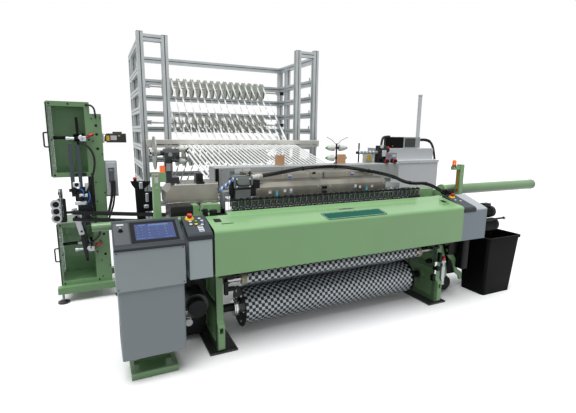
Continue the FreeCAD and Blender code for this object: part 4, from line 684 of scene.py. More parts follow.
finish("slate_bar", (86, 94, 102), 0.36, 0.6, vary=0.10, bump=0.08, lines=(300, 300, 4))
finish("gold_strip", (176, 140, 60), 0.35, 0.4, vary=0.10, bump=0.05)
# Painted shade: the dark grey of the strips in the creel profiles' slots.
finish("slot_shade_grey", (84, 90, 93), 0.5, vary=0.06, bump=0.05)
print("finishes", len(finishes))

# %% [markdown]
# Much of the machine is black, and no two blacks are alike: painted metal shows its edges, moulded plastic
# is fine-grained, and rubber is dull.

# %% Finishes in black
WORN_BLACK = dict(bump=0.08, wear=0.3, worn=(84, 86, 86))
finish("black_metal", (17, 18, 20), 0.45, vary=0.18, dust=0.03, Specular_IOR_Level=0.2, **WORN_BLACK)
finish("guide_black", (26, 28, 30), 0.42, vary=0.18, Specular_IOR_Level=0.3, **WORN_BLACK,
       zones=[(TUBE_GREY, (-2032, 1588, 1075), (-1996, 1620, 1480)),
              (TUBE_GREY, (-1968, 1590, 700), (-1934, 1622, 1470))])
finish("reed_metal", (26, 28, 30), 0.42, vary=0.18, bump=0.08, Specular_IOR_Level=0.3,
       zones=[((148, 158, 148), (-925, 325, 986.5), (925, 352, 1089))])
finish("link_grey", (58, 60, 62), 0.35, 0.5, vary=0.2, bump=0.1)
finish("stand_grey", (56, 60, 62), 0.4, vary=0.12, bump=0.08, wear=0.4, worn=(150, 152, 150),
       Specular_IOR_Level=0.3)
finish("cone_black", (26, 28, 30), 0.45, vary=0.15, bump=0.1, Specular_IOR_Level=0.3,
       zones=[(CONE_PALE, (479, 1030, 1316), (579, 1110, 1482)), (CONE_PALE, (321, 1030, 1316), (421, 1110, 1482)),
              (CONE_TIP, (562, 1030, 1316), (580, 1110, 1482)), (CONE_TIP, (320, 1030, 1316), (338, 1110, 1482))])
finish("feeder_black", (30, 32, 34), 0.42, vary=0.15, bump=0.1, Specular_IOR_Level=0.3,
       zones=[((150, 156, 158), (712, 1020, 1370), (961, 1080, 1430)),
              ((206, 206, 190), (845, 1094, 1285), (935, 1165, 1412)),
              ((142, 152, 166), (1030, 985, 1286), (1185, 1000, 1400))])
finish("black_plastic", (13, 14, 16), 0.45, vary=0.12, grain=800, bump=0.1, Specular_IOR_Level=0.2)
finish("bin_plastic", (9, 9, 11), 0.55, vary=0.1, grain=420, bump=0.25, Specular_IOR_Level=0.08)
finish("rubber", (22, 23, 24), 0.55, vary=0.15, grain=700, bump=0.1, Specular_IOR_Level=0.35)
print("finishes", len(finishes))

# %% [markdown]
# Small moulded and printed parts bring the few bright colours, and the tapes, reels, yarn and wood the soft
# ones.  The clear doors let light through, and the lens glows a little even when it is off.

# %% Finishes of small parts
for tint, base in (("cyan", (70, 176, 196)), ("red", (196, 66, 58)), ("blue", (70, 104, 168))):
    finish("label_" + tint, base, 0.4, vary=0.05, bump=0.02)
finish("label_white", (214, 217, 216), 0.4, vary=0.03, bump=0.02)
finish("white_plastic", (206, 208, 204), 0.42, vary=0.03, bump=0.04)
finish("red_plastic", (206, 40, 34), 0.3, vary=0.05, bump=0.03, Coat_Weight=0.3)
finish("yellow_plastic", (240, 190, 30), 0.36, vary=0.05, bump=0.03, Coat_Weight=0.2)
finish("green_plastic", (70, 168, 80), 0.35, vary=0.05, bump=0.03)
finish("blue_line", (46, 110, 196), 0.35, vary=0.08, bump=0.03)
finish("roller_cream", (196, 186, 158), 0.5, vary=0.08, bump=0.08)
finish("bar_beige", (224, 222, 214), 0.42, 0.0, vary=0.08, bump=0.06, lines=(3, 300, 300))
finish("yarn_white", (222, 225, 221), 0.6, vary=0.03, bump=0.2, lines=(700, 40, 40))
finish("tan_wood", (204, 158, 122), 0.6, vary=0.08, bump=0.15, lines=(300, 300, 20))
finish("reel_disc", (206, 210, 202), 0.42, vary=0.04, bump=0.06, lines=(200, 60, 60))
finish("white_tape", (238, 240, 238), 0.42, vary=0.02, bump=0.12, lines=(900, 60, 60), Coat_Weight=0.1)
finish("screen_off", (58, 66, 62), 0.2, vary=0.05, bump=0.0, Specular_IOR_Level=0.3)
finish("nameplate_green", (10, 88, 70), 0.5, vary=0.05, bump=0.02, Specular_IOR_Level=0.12)
finish("orange_lens", (255, 112, 20), 0.22, vary=0.06, bump=0.03, Coat_Weight=0.6,
       Emission_Color=(1.0, 0.16, 0.01, 1), Emission_Strength=0.25)
finish("clear_pane", (196, 208, 206), 0.08, vary=0.02, bump=0.0, Transmission_Weight=0.92, IOR=1.2)
print("finishes", len(finishes))

# %% [markdown]
# The floor shows nearly white to the eye, but it throws back less light than that, as the shop floor in the
# picture does.  So its colour depends on the kind of ray that meets it.

# %% Floor finish
finish("stage_floor", (263, 264, 265), 0.7, vary=0.004, grain=60, bump=0.01)
floor_mesh.materials.append(finishes["stage_floor"])
floor_tree = finishes["stage_floor"].node_tree
floor_colour = principled(finishes["stage_floor"]).inputs["Base Color"]
floor_shade = blend_colour(floor_tree, seen_directly(floor_tree), colour(120, 122, 120),
                           floor_colour.links[0].from_socket)
floor_tree.links.new(floor_shade, floor_colour)
print("finishes", len(finishes))

# %% [markdown]

# %% [markdown]
# ## Dressing the CAD nodes
# Each visible CAD node takes a finish in place of the plain one that it came with.  A table from finishes to
# nodes shows at one look what is painted alike, and one loop works through it.

# %% Finish of each node
dress = {
    "green_paint": "light_posts lever_arm_right",
    "tube_green_shaded": "console_base guard_tube_left guard_tube_right",
    "frame_paint": "side_frame_left side_frame_right",
    "housing_paint": "drive_housing_left drive_housing_right",
    "tower_paint_shaded": "tower_frame",
    "guide_black": "tower_guides",
    "green_cover": "front_cover",
    "panel_grey": "button_panel right_cabinet console_body",
    "desk_charcoal": "button_panel_top right_cabinet_top console_top",
    "orange_lens": "signal_lamps",
    "stainless": "drive_hood guard_plates",
    "black_metal": "cross_beams drive_motors tower_rails cloth_roll",
    "stand_grey": "bobbin_stand",
    "beam_grey": "harness_beam",
    "head_grey": "tape_head",
    "linkage_metal": "linkage_right",
    "cone_black": "cone_stand",
    "feeder_black": "feeder_unit",
    "reed_metal": "sley",
    "cabinet_white": "rear_cabinet",
    "terminal_grey": "tower_cabinet",
    "bin_plastic": "waste_bin",
    "aluminium_x": "creel_rails heald_shaft_front heald_shaft_rear",
    "aluminium_z": "creel_side_left creel_side_right",
    "bar_beige": "guide_bar",
    "steel": "rapier_left rapier_right guide_roller",
    "disc_grey": "spool_disc",
    "black_plastic": "tower_reel_upper tower_reel_lower",
    "roller_cream": "take_up_roller",
    "reel_disc": "reel_row_1 reel_row_2 reel_row_3 reel_row_4",
    "white_tape": "warp_tapes wound_cloth cloth_strip",
    "red_plastic": "stop_button_left stop_button_right",
    "clear_pane": "tower_door_upper tower_door_lower",
    "rubber": "hose_bundle",
}
for finish_name, names in dress.items():
    for name in names.split():
        mesh = nodes[name].data
        mesh.materials.clear()
        mesh.materials.append(finishes[finish_name])
print("dressed", sum(len(names.split()) for names in dress.values()), "of", len(nodes))

# %% [markdown]
# ## The chequered cloth
# The loom weaves flat tapes, black one way and silver-white the other, so the cloth is a chessboard of small
# cushions.  Each cell of the grid swells a little in its middle.  A shader reads the lay of the cloth, counted
# in cells along and across, and picks the colour from the sum of the two counts: odd or even.

# %% Weave shader
weave_cells, given, gives = new_group("weave_cells", {"Fibres": 16.0}, ("Odd", "Fibre", "Seam"))
lay = add_node(weave_cells, "ShaderNodeUVMap", uv_map="lay").outputs[0]
counts = axes_of(weave_cells, lay)
across, along = counts["X"], counts["Y"]
total = maths(weave_cells, "ADD", maths(weave_cells, "FLOOR", across), maths(weave_cells, "FLOOR", along))
odd = maths(weave_cells, "GREATER_THAN", maths(weave_cells, "MODULO", total, 2.0), 0.5)
weave_cells.links.new(odd, gives["Odd"])
pick = add_node(weave_cells, "ShaderNodeMix", {0: odd, 2: along, 3: across}).outputs[0]
strands = maths(weave_cells, "SINE", times(weave_cells, pick, given["Fibres"], 2 * math.pi))
weave_cells.links.new(maths(weave_cells, "MULTIPLY_ADD", strands, 0.5), gives["Fibre"])
edge = maths(weave_cells, "ABSOLUTE", maths(weave_cells, "SUBTRACT", maths(weave_cells, "FRACT", pick), 0.5))
weave_cells.links.new(spread(weave_cells, edge, 0.44, 0.49), gives["Seam"])

chequer = finish("chequer_cloth", (198, 206, 212), 0.36, 0.35, vary=0.05)
tree = chequer.node_tree
shader = principled(chequer)
cells = use(tree, weave_cells)
silver = shader.inputs["Base Color"].links[0].from_socket
two_tone = blend_colour(tree, cells["Odd"], silver, colour(20, 22, 26))
tree.links.new(blend_colour(tree, cells["Seam"], two_tone, colour(40, 42, 46)), shader.inputs["Base Color"])
fibre_bump = add_node(tree, "ShaderNodeBump", {"Strength": 0.25, "Distance": 0.0006, "Height": cells["Fibre"]})
tree.links.new(fibre_bump.outputs[0], shader.inputs["Normal"])
print("chequer nodes", len(tree.nodes))

# %% [markdown]
# The cloth leaves the reed, passes behind the take-up roller, before the guide roller and over the roll.  Its
# line is three straight runs that touch three circles, found as a string round wheels is: the angle between
# the centre line and the touching point has the sum of the radii over the distance as its cosine.

# %% The cloth's line
CELL = 26.25
CLOTH_HALF = 838.0
CLOTH_LAY = 1.2
TAKE_UP, GUIDE, ROLL = (230.0, 760.0, 75.0), (250.0, 515.0, 49.0), (400.0, 222.0, 148.0)
FELL = np.array((322.0, 1010.0))


def crossing(first, second, side):
    """Touching angles of the crossing line between two wheels, each (y, z, radius)."""
    step = np.subtract(second[:2], first[:2])
    reach = first[2] + second[2] + 2 * CLOTH_LAY
    angle = math.atan2(step[1], step[0]) + side * math.acos(reach / math.hypot(*step))
    return angle, angle + math.pi


def wheel_arc(wheel, start, finish_, count=30):
    """Points on a wheel between two angles, a cloth's lay outside it."""
    turn = np.linspace(start, finish_, count)[:, None]
    return np.array(wheel[:2]) + (wheel[2] + CLOTH_LAY) * np.hstack([np.cos(turn), np.sin(turn)])


gap = FELL - TAKE_UP[:2]
touch = math.atan2(gap[1], gap[0]) - math.acos((TAKE_UP[2] + CLOTH_LAY) / math.hypot(*gap))
leave_up, meet_guide = crossing(TAKE_UP, GUIDE, 1)
leave_guide, meet_roll = crossing(GUIDE, ROLL, -1)
cloth_line = np.concatenate([
    FELL[None], wheel_arc(TAKE_UP, touch, leave_up),
    wheel_arc(GUIDE, meet_guide, leave_guide + 2 * math.pi), wheel_arc(ROLL, meet_roll, meet_roll, 1)])
lengths = np.concatenate([[0], np.cumsum(np.linalg.norm(np.diff(cloth_line, axis=0), axis=1))])
CLOTH_LENGTH = lengths[-1]
print("cloth strip", round(2 * CLOTH_HALF), "by", round(CLOTH_LENGTH), "mm")

# %% [markdown]
# A cushion is the root of a product of two sines, so it is zero along all four edges of its cell and high in
# its middle.  The strip follows the line just found, and the roll is the same cloth wound round a cylinder.
# A thickness modifier gives both of them an inside face.

# %% The strip and the wound roll
PER_CELL, HALF_CELLS, SWELL = 4, 32, 0.4


def cushion(u, v):
    """Swelling of a cell: the root of the product of two sines, zero along its edges."""
    return np.sqrt(np.abs(np.sin(math.pi * u) * np.sin(math.pi * v)))


columns = np.linspace(-CLOTH_HALF, CLOTH_HALF, 2 * HALF_CELLS * PER_CELL + 1)
rows = np.linspace(0, CLOTH_LENGTH, int(CLOTH_LENGTH / CELL) * PER_CELL + 1)
line_y, line_z = (np.interp(rows, lengths, cloth_line[:, k]) for k in (0, 1))
slope_y, slope_z = np.gradient(line_y), np.gradient(line_z)
size = np.hypot(slope_y, slope_z)
u, v = np.meshgrid(columns / CELL + HALF_CELLS, rows / CELL)
swell = SWELL * cushion(u, v) - SWELL / 2
strip_grid = np.stack([np.broadcast_to(columns, u.shape),
                       line_y[:, None] - swell * (slope_z / size)[:, None],
                       line_z[:, None] + swell * (slope_y / size)[:, None]], axis=-1)
strip = piece("cloth_sheet", [skin(strip_grid, False, False, np.stack([u, v], axis=-1))], "chequer_cloth",
              smooth=60)
thick = strip.modifiers.new("thickness", "SOLIDIFY")
thick.thickness = 0.0012
thick.offset = 0
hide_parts("cloth_strip")

AROUND, ROLL_HALF, ROLL_SWELL = 36, 840, 0.6
turn = np.arange(AROUND * PER_CELL + 1) / (AROUND * PER_CELL) * 2 * math.pi
roll_x = np.linspace(-ROLL_HALF, ROLL_HALF, 2 * HALF_CELLS * PER_CELL + 1)
u, v = np.meshgrid(roll_x / CELL + HALF_CELLS, turn / (2 * math.pi) * AROUND, indexing="ij")
roll_reach = ROLL[2] - 0.5 + ROLL_SWELL * cushion(u, v)
roll_grid = np.stack([np.broadcast_to(roll_x[:, None], u.shape), ROLL[0] + roll_reach * np.cos(turn),
                      ROLL[1] + roll_reach * np.sin(turn)], axis=-1)
wound = skin(roll_grid[:, :-1], True, False, np.stack([u, v], axis=-1))
roll_cloth = piece("wound_cloth_skin", [wound], "chequer_cloth", "roll", smooth=60)
wall = roll_cloth.modifiers.new("thickness", "SOLIDIFY")
wall.thickness = 0.02
wall.offset = -1
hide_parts("wound_cloth")

# %% [markdown]
# The take-up and guide rollers end in cream sleeves, and the roll's bright hub is stepped so that a crane
# hook can hold it.  Six screws hold the black flange.  All of them are lathe work on the real loom, so each
# is a profile swept round its roller's axis.

# %% Roller ends
SLEEVE_X, HUB_X, FLANGE_SCREW_REACH = 846, 849, 120
SLEEVE = [(0, 50.5), (1, 51.5), (30, 51.5), (33, 50), (36.5, 38)]
HUB = [(0, 70), (14, 70), (16, 67), (26, 67), (27, 72), (44, 72), (46, 67), (54, 67), (55.5, 60), (55.5, 40)]


def round_axis(x, y, z, reach, count, start=0.0):
    """Points evenly round an axis that runs along x."""
    turn = np.arange(count) * math.pi / (count / 2) + start
    return [(x, y + reach * math.cos(a), z + reach * math.sin(a)) for a in turn]


sleeves, hubs, flange_screws = [], [], []
for side, outward in ((-1, LEFT), (1, RIGHT)):
    sleeves.append(turned((side * SLEEVE_X, *GUIDE[:2]), outward, SLEEVE, 40))
    hubs.append(turned((side * HUB_X, *ROLL[:2]), outward, HUB, 48))
    flange_screws += many(screw, round_axis(side * HUB_X, *ROLL[:2], FLANGE_SCREW_REACH, 6), outward, 8)
piece("guide_sleeves", sleeves, "roller_cream", "guide")
piece("roll_hubs", hubs, "bright_steel", "roll")
piece("flange_screws", flange_screws, "steel", "roll")

# %% [markdown]
# ## The terminal
# The desk of the standing terminal holds a touch screen in a black bezel, a key switch and a blank label.
# The screen shows plain fields of colour.  Its slope is given by one foot point, one direction across and
# one normal, and everything on it is placed by two distances on that slope.

# %% Screen
SLOPE_START, SLOPE_RUN = np.array((0, -14.0, 925.0)), np.array((0, 210.0, 107.0))
slope_unit = SLOPE_RUN / np.linalg.norm(SLOPE_RUN)
slope_normal = np.array((0, -slope_unit[2], slope_unit[1]))


def on_slope(x, share, lift=0.0):
    """Point at a share of the desk's slope, lifted along its normal."""
    return np.array((x, 0, 0)) + SLOPE_START + SLOPE_RUN * share + slope_normal * lift


def slope_plates(name, finish_name, *rows):
    """A piece of plates on the slope; a row is x, share, lift and the plate's own measures."""
    piece(name, [plate(on_slope(*row[:3]), slope_normal, *row[3:]) for row in rows], finish_name)


def lit(name, base, glow, strength_):
    """A finish that also shines a little, as a screen does."""
    shader_ = principled(finish(name, base, 0.12, vary=0.05, bump=0.0, Coat_Weight=0.5))
    shader_.inputs["Emission Color"].default_value = colour(*glow)
    shader_.inputs["Emission Strength"].default_value = strength_


lit("screen_blue", (40, 60, 112), (48, 78, 148), 0.13)
lit("screen_pale", (78, 104, 156), (80, 110, 170), 0.14)
lit("screen_dot", (196, 190, 150), (196, 186, 130), 0.2)
MIDDLE_X = -1506.0
slope_plates("screen_bezel", "black_plastic", (MIDDLE_X, 0.5, -3.9, 283.4, 202, 4.6, 8, 1.2))
slope_plates("screen_glass", "screen_blue", (MIDDLE_X + 4, 0.5, 0.6, 238, 150, 0.5, 2, 0.2))
fields = [(-84, 0.24, 52, 5), (84, 0.23, 44, 5), (-30, 0.235, 40, 4), (30, 0.76, 120, 16), (-70, 0.77, 40, 10)]
slope_plates("screen_fields", "screen_pale",
             *[(MIDDLE_X + x, share, 1.0, wide, tall, 0.3, 1, 0.1) for x, share, wide, tall in fields])
dots = [(x, share) for x in (-100, -72, -30, 20, 70) for share in (0.34, 0.45, 0.57, 0.68)]
slope_plates("screen_dots", "screen_dot",
             *[(MIDDLE_X + x, share, 1.0, 3 + (x % 4), 2.4, 0.3, 1, 0.1) for x, share in dots])

# %% [markdown]
# Left of the screen the desk is a shade lighter, and a key switch, a small lamp and a blank label sit there.
# The terminal's case is held by four round screws and breathes through slots in its left side.

# %% Key switch, label and seams of the terminal
KEY_X, VENT_STEP = -1702, 22
slope_plates("desk_inlay", "desk_grey", (-1699, 0.5, 0, 86, 200, 0.5, 8, 0.2))
key = on_slope(KEY_X, 0.6)
piece("key_switch", [turned(key, slope_normal, [(0, 15), (2, 15), (3, 13.5), (3, 11), (9, 10.5), (11, 9)], 32),
                     plate(key + slope_normal * 10.5, slope_normal, 17, 4, 7, 1.5, 0.8)], "black_plastic")
slope_plates("terminal_label", "label_white", (KEY_X, 0.86, 0, 42, 15, 0.8, 2, 0.3))
piece("key_lamp", [turned(on_slope(KEY_X, 0.74), slope_normal, [(0, 4), (2, 4), (3.4, 2.5), (3.8, 0.5)], 16)],
      "white_plastic")
terminal_screws = [(x, -20.0, z) for x in (-1738, -1352) for z in (660, 885)]
piece("terminal_screws", many(turned, terminal_screws, FRONT, [(0, 4), (1, 4), (1.6, 3), (1.6, 1.6), (0.9, 1.4)], 16),
      "desk_charcoal")
flats("terminal_vents", "black_plastic", LEFT,
      *[(-1742.2, 60 + VENT_STEP * k, 330, 9, 120, 0.8, 4, 0.3) for k in range(6)])

# %% [markdown]
# ## Button desks
# Two dark desks flank the cover.  Each has a yellow collar under its red stop button and a field of small
# round push buttons.  A push button is a moulded cap in a black ring, so both are turned.

# %% Push buttons
DESK_EDGE_Y, DESK_EDGE_Z = 14, 958
LEFT_DESK, RIGHT_DESK = (1030, 240), (1036, 272)
STRIP_RISE = 0.318


def on_desk(x, y, back_z, depth):
    """Point and normal on a dark desk that rises evenly from its front edge to its back height."""
    rise = (back_z - DESK_EDGE_Z) / (depth - DESK_EDGE_Y)
    return np.array((x, y, DESK_EDGE_Z + rise * (y - DESK_EDGE_Y))), np.array((0, -rise, 1)) / math.hypot(rise, 1)


def cap(foot, normal, radius, tall):
    """A push button: a straight skirt and a softly domed top."""
    edge = np.linspace(0, math.pi / 2, 5)[1:-1]
    dome = [(tall - 1 + math.sin(a), radius - 1 + math.cos(a)) for a in edge]
    return turned(foot, normal, [(0, radius)] + dome + [(tall, radius * 0.5)], 20)


keys = {
    "white_plastic": [(-1268, 153), (-1271, 118), (-1201, 182), (-1190, 153), (-1199, 104)],
    "green_plastic": [(-1230, 153)],
    "yellow_plastic": [(-1236, 116)],
    "label_blue": [(-1189, 128)],
}
for tint, spots in keys.items():
    seats = [on_desk(x, y, *LEFT_DESK) for x, y in spots]
    piece("desk_keys_" + tint, [cap(*seat, 10.5, 6) for seat in seats], tint)
    piece("key_rings_" + tint, [turned(*seat, [(0, 13.5), (2, 13.5), (2.8, 12)], 24) for seat in seats],
          "black_plastic")
foot, n = on_desk(-1217, 62, *LEFT_DESK)
piece("desk_strip", [plate(foot, n, 34, 74, 0.8, 3, 0.3)], "label_white")
bars = [plate(foot + n * 0.8 + np.array((0, dy, dy * STRIP_RISE)), n, 26, 9, 0.4, 1, 0.2) for dy in (-24, 0, 24)]
piece("desk_strip_fields", bars, "label_blue")
piece("stop_rest_label", [plate(*on_desk(-1267, 186, *LEFT_DESK), 22, 8, 0.6, 2, 0.2)], "label_red")
COLLAR = [(0, 31), (4, 30), (9.4, 26.4), (10.2, 25), (10.2, 9.6), (9.4, 9.4)]
for name, x, y, desk in (("left", -1264, 194, LEFT_DESK), ("right", 1212, 214, RIGHT_DESK)):
    piece("stop_collar_" + name, [turned(*on_desk(x, y, *desk), COLLAR, 40)], "yellow_plastic")
piece("right_keys", [cap(*on_desk(x, y, *RIGHT_DESK), 9.5, 6) for x, y in ((1190, 150), (1232, 128))],
      "white_plastic")

# %% [markdown]
# ## On the cover
# A blank nameplate, an oval handle recess and black latches.  The nameplate stays bare.  The plates lie on the
# sloping sheet, so a row gives their place on it and the lift over it.

# %% Cover fittings
COVER_BACK_Y, COVER_BACK_Z, COVER_RISE = 215, 1003, 0.18717
cover_normal = np.array((0, -COVER_RISE, 1)) / math.hypot(COVER_RISE, 1)


def on_cover(x, y, lift):
    """Point over the cover's sloping top."""
    return np.array((x, y, COVER_BACK_Z - (COVER_BACK_Y - y) * COVER_RISE)) + cover_normal * lift


cover_plates = [
    ("nameplate", "nameplate_green", [(5, 72, 0, 566, 128, 1.2, 20, 0.4)]),
    ("nameplate_line", "label_white", [(5, 72, 1.0, 550, 112, 0.6, 16, 0.2)]),
    ("nameplate_field", "nameplate_green", [(5, 72, 1.4, 543, 105, 0.6, 13, 0.2)]),
    ("oval_plate", "steel", [(-6, 180, 0, 158, 25, 1.6, 12, 0.5)]),
    ("oval_slot", "black_plastic", [(-6, 180, 1.5, 136, 5, 0.5, 2.5, 0.2)]),
    ("cover_slot_floors", "black_plastic", [(x, 103, -5.0, 104, 24, 1.5, 7, 0.3) for x in (-1025, 1025)]),
    ("cover_finger_plates", "black_plastic", [(x, 165, 0, 50, 60, 0.9, 5, 0.3) for x in (-1078, 1056)]),
]
for name, tint, rows in cover_plates:
    piece(name, [plate(on_cover(*row[:3]), cover_normal, *row[3:]) for row in rows], tint)
latch_blocks = []
for x, wide, low, high in ((-1136, 34, 985, 1063), (-1078, 50, 985, 1053)):
    latch_blocks.append(plate((x, 282, (low + high) / 2), FRONT, wide, high - low, 26, 8, 3))
    latch_blocks.append(turned((x, 256, high - 18), FRONT, [(0, 11), (6, 11), (8, 8), (9, 4)], 20))
    latch_blocks.append(turned((x - wide / 2, 268, high - 12), LEFT, [(0, 7), (10, 7), (11, 5)], 16))
piece("cover_latches", latch_blocks, "black_metal")
flats("cover_brackets", "black_metal", FRONT, (-940, 30, 668, 120, 34, 26, 4, 2), (-905, 45, 640, 60, 30, 20, 6, 2),
      (935, 30, 666, 110, 30, 24, 4, 2), (985, 40, 640, 46, 34, 20, 6, 2))
bolts("cover_lip_screws", "steel", DOWN, 4, [(x, 14.0, 650.0) for x in np.linspace(-1100, 1100, 12)])

# %% [markdown]
# ## The hose bundle
# Three strands twist slowly round the spline found at the start, tied by black bands, and end in a white
# fitting with cream rings.  The strands are pipes carried along lines that circle the spline.

# %% Hose strands and ties
def carried(line):
    """Unit directions along, sideways and upwards at each point of a line."""
    along = ways_of(line)
    side = np.cross(along, UP)
    side /= np.linalg.norm(side, axis=1, keepdims=True)
    return along, side, np.cross(side, along)


hose_mm = hose_line / MM + HOME
along, side, top = carried(hose_mm)
travel = np.concatenate([[0], np.cumsum(np.linalg.norm(np.diff(hose_mm, axis=0), axis=1))])
STRAND_R, STRAND_RING, HOSE_TWIST = 8.6, 9.4, 0.004
strands = []
for k in range(3):
    turn = (k * 2 * math.pi / 3 + travel * HOSE_TWIST)[:, None]
    strands.append(pipe(hose_mm + STRAND_RING * (np.cos(turn) * side + np.sin(turn) * top), STRAND_R, 14))
hose = piece("hose_strands", strands, "rubber", smooth=60)
TIE_WIDE, TIE_REACH = 12, 19.4
TIE = [(0, TIE_REACH - 2), (1.5, TIE_REACH), (TIE_WIDE - 1.5, TIE_REACH), (TIE_WIDE, TIE_REACH - 2)]
for k, share in enumerate((0.16, 0.30, 0.46, 0.62, 0.76, 0.88)):
    at = int(share * (len(hose_mm) - 1))
    tie = turned(hose_mm[at] - along[at] * TIE_WIDE / 2, along[at], TIE, 28)
    piece("hose_tie_%d" % k, [tie], "black_plastic")
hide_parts("hose_bundle")
fitting_start = hose_mm[0] - along[0] * 118
FITTING = [(0, 20), (8, 22), (30, 22), (32, 18), (54, 18), (56, 23), (78, 23), (80, 19), (112, 19), (116, 17)]
piece("hose_fitting", [turned(fitting_start, along[0], FITTING, 32)], "label_white")
piece("hose_fitting_rings", [turned(fitting_start + along[0] * t, along[0], [(0, 24), (8, 24), (9, 22)], 32, 6)
                             for t in (20, 62, 92)], "roller_cream")

# %% [markdown]
# Smaller lines are splines with a round bevel: air lines and cables that are held at both ends.  Each prints
# the length that its spline really has.

# %% Small lines
def small_line(name, points, radius, finish_name):
    """A cable or air line between two fittings, drawn by its control points; gives its line in millimetres."""
    made = spline_through(name, points)
    line = traced(made)
    made.data.bevel_depth = radius * MM
    made.data.bevel_resolution = 3
    made.data.use_fill_caps = True
    made.data.materials.append(finishes[finish_name])
    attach(made, "loom")
    print(name, round(run_length(line), 3), "m")
    return line / MM + HOME


# %% [markdown]
# ## Over the shed
# The guards are bare sheet with small blank labels and screws, and their two halves meet at a black catch
# over a narrow gap, whose shade is painted by a thin black strip.  The labels are thin plates a fraction of a
# millimetre over the sheet.

# %% Guards
GUARD_FACE, GUARD_STEP = 540.0 - 0.2, 738
tags = {"label_white": [(-524, 1112, 26, 26), (-386, 1116, 24, 26), (333, 1122, 24, 34), (-329, 1113, 24, 40),
                        (384, 1115, 22, 22), (521, 1116, 26, 22)],
        "label_cyan": [(-460, 1100, 20, 44), (460, 1092, 20, 40)],
        "label_red": [(-524, 1120, 20, 6), (521, 1121, 20, 5)],
        "label_blue": [(-329, 1102, 20, 10), (333, 1110, 20, 8)]}
for tint, spots in tags.items():
    lift = 1.2 if tint in ("label_red", "label_blue") else 0.6
    flats("guard_tags_" + tint, tint, FRONT, *[(x, GUARD_FACE, z, w, h, lift, 2, 0.2) for x, z, w, h in spots])
flats("upper_guard_tags", "label_white", FRONT, *[(x, 737.4, 1214, 42, 34, 0.7, 2, 0.2) for x in (-247, 427)])
flats("upper_guard_fields", "label_blue", FRONT, *[(x, 736.7, 1206, 36, 14, 0.6, 2, 0.2) for x in (-247, 427)])
bolts("guard_screws", "bright_steel", FRONT, 4,
      [(x, GUARD_FACE, z) for x in (-625, -60, 60, 655) for z in (1075, 1138)])
bolts("guard_step_screws", "bright_steel", FRONT, 3.5,
      [(x, GUARD_STEP, z) for x in (-600, -320, -70, 70, 360, 640) for z in (1204, 1230)])
flats("guard_catches", "black_metal", FRONT, (0, 536, 1128, 44, 26, 10, 4, 2), (0, 534, 1088, 40, 22, 12, 3, 2),
      (0, 736, 1236, 30, 20, 8, 3, 2))
# Painted shade: a thin black strip over the gap between the guard halves.
flats("guard_gap_shade", "black_plastic", FRONT, (12, 539.4, 1105, 16, 96, 1.0, 2, 0.3))
flats("guard_post", "dull_steel", FRONT, (112, 737.4, 1216, 20, 60, 8, 3, 1))

# %% [markdown]
# Two wooden blocks stand on the harness beam on steel feet.  The beam is a folded box held by two rows of
# screws, with a blank label at the left.

# %% Beam fittings
BLOCKS = {"left": -236, "right": 458}
for name, x in BLOCKS.items():
    flats("wood_block_" + name, "tan_wood", FRONT, (x, 1000, 1339, 86, 102, 34, 5, 3))
flats("wood_block_feet", "steel", UP, *[(x, 990, 1288, 96, 56, 6, 4, 1.5) for x in BLOCKS.values()])
flats("beam_label", "label_white", FRONT, (-624, 939.6, 1253, 150, 46, 0.8, 3, 0.3))
flats("beam_end_block", "black_metal", FRONT, (-866, 940, 1206, 30, 150, 30, 4, 2))
bolts("beam_screws", "steel", FRONT, 5, [(x, 939.8, z) for x in np.linspace(-820, 1140, 11) for z in (1142, 1268)])

# %% [markdown]
# ## Tape head
# The cast head that feeds the weft tape has a black bail handle, dark fingers under its face and a twisted
# blue-white air line.  The two lines wind round one straight core, half a turn apart.

# %% Tape head
HEAD_Y, FACE_X = 500.0, -771.0
piece("head_faces", plates(FRONT, [(FACE_X, HEAD_Y, 1206, 128, 78, 5, 8, 2)])
      + plates(UP, [(FACE_X, HEAD_Y + 32, 1256, 150, 52, 4, 8, 2)]), "head_grey")
bail = smooth_line([(-828, 498, 1226), (-826, 476, 1196), (-800, 470, 1184),
                    (-742, 470, 1184), (-716, 476, 1196), (-714, 498, 1226)])
piece("head_bail", [pipe(bail, 5, 12, BACK)], "black_plastic")
flats("head_dark", "black_metal", FRONT, (FACE_X, HEAD_Y - 1, 1157, 150, 12, 6, 4, 1.5),
      (-660, 505, 1190, 56, 70, 12, 5, 2), (-862, 520, 1120, 26, 120, 14, 5, 2))
bolts("head_screws", "bright_steel", FRONT, 4.5,
      [(FACE_X + dx, HEAD_Y - 5, 1206 + dz) for dx in (-54, 54) for dz in (-30, 30)])
flats("head_fingers", "black_metal", FRONT,
      *[(FACE_X + dx, 505, 1056, 10, 34, 10, 4, 2) for dx in (-52, -26, 0, 26, 52)])

LINE_RING, LINE_R, LINE_TURNS = 6.6, 7.2, 4
start, end = np.array((-958.0, 514, 1146)), np.array((-838.0, 506, 1246))
share = np.linspace(0, 1, 60)[:, None]
core = start + (end - start) * share
_, side, top = carried(core)
for k, tint in enumerate(("blue_line", "label_white")):
    turn = (share * LINE_TURNS + k * 0.5) * 2 * math.pi
    piece("twisted_line_" + tint, [pipe(core + LINE_RING * (np.cos(turn) * side + np.sin(turn) * top), LINE_R, 12)],
          tint)
rounds("line_pillar", "bright_steel", UP,
       (-850, 560, 1010, [(0, 14), (60, 14), (62, 10), (120, 10), (124, 13), (140, 13), (142, 8)], 24))

# %% [markdown]
# The spool at the left turns between bright collars and is held by a wing nut.  Its stand carries two plates
# and a round cover.

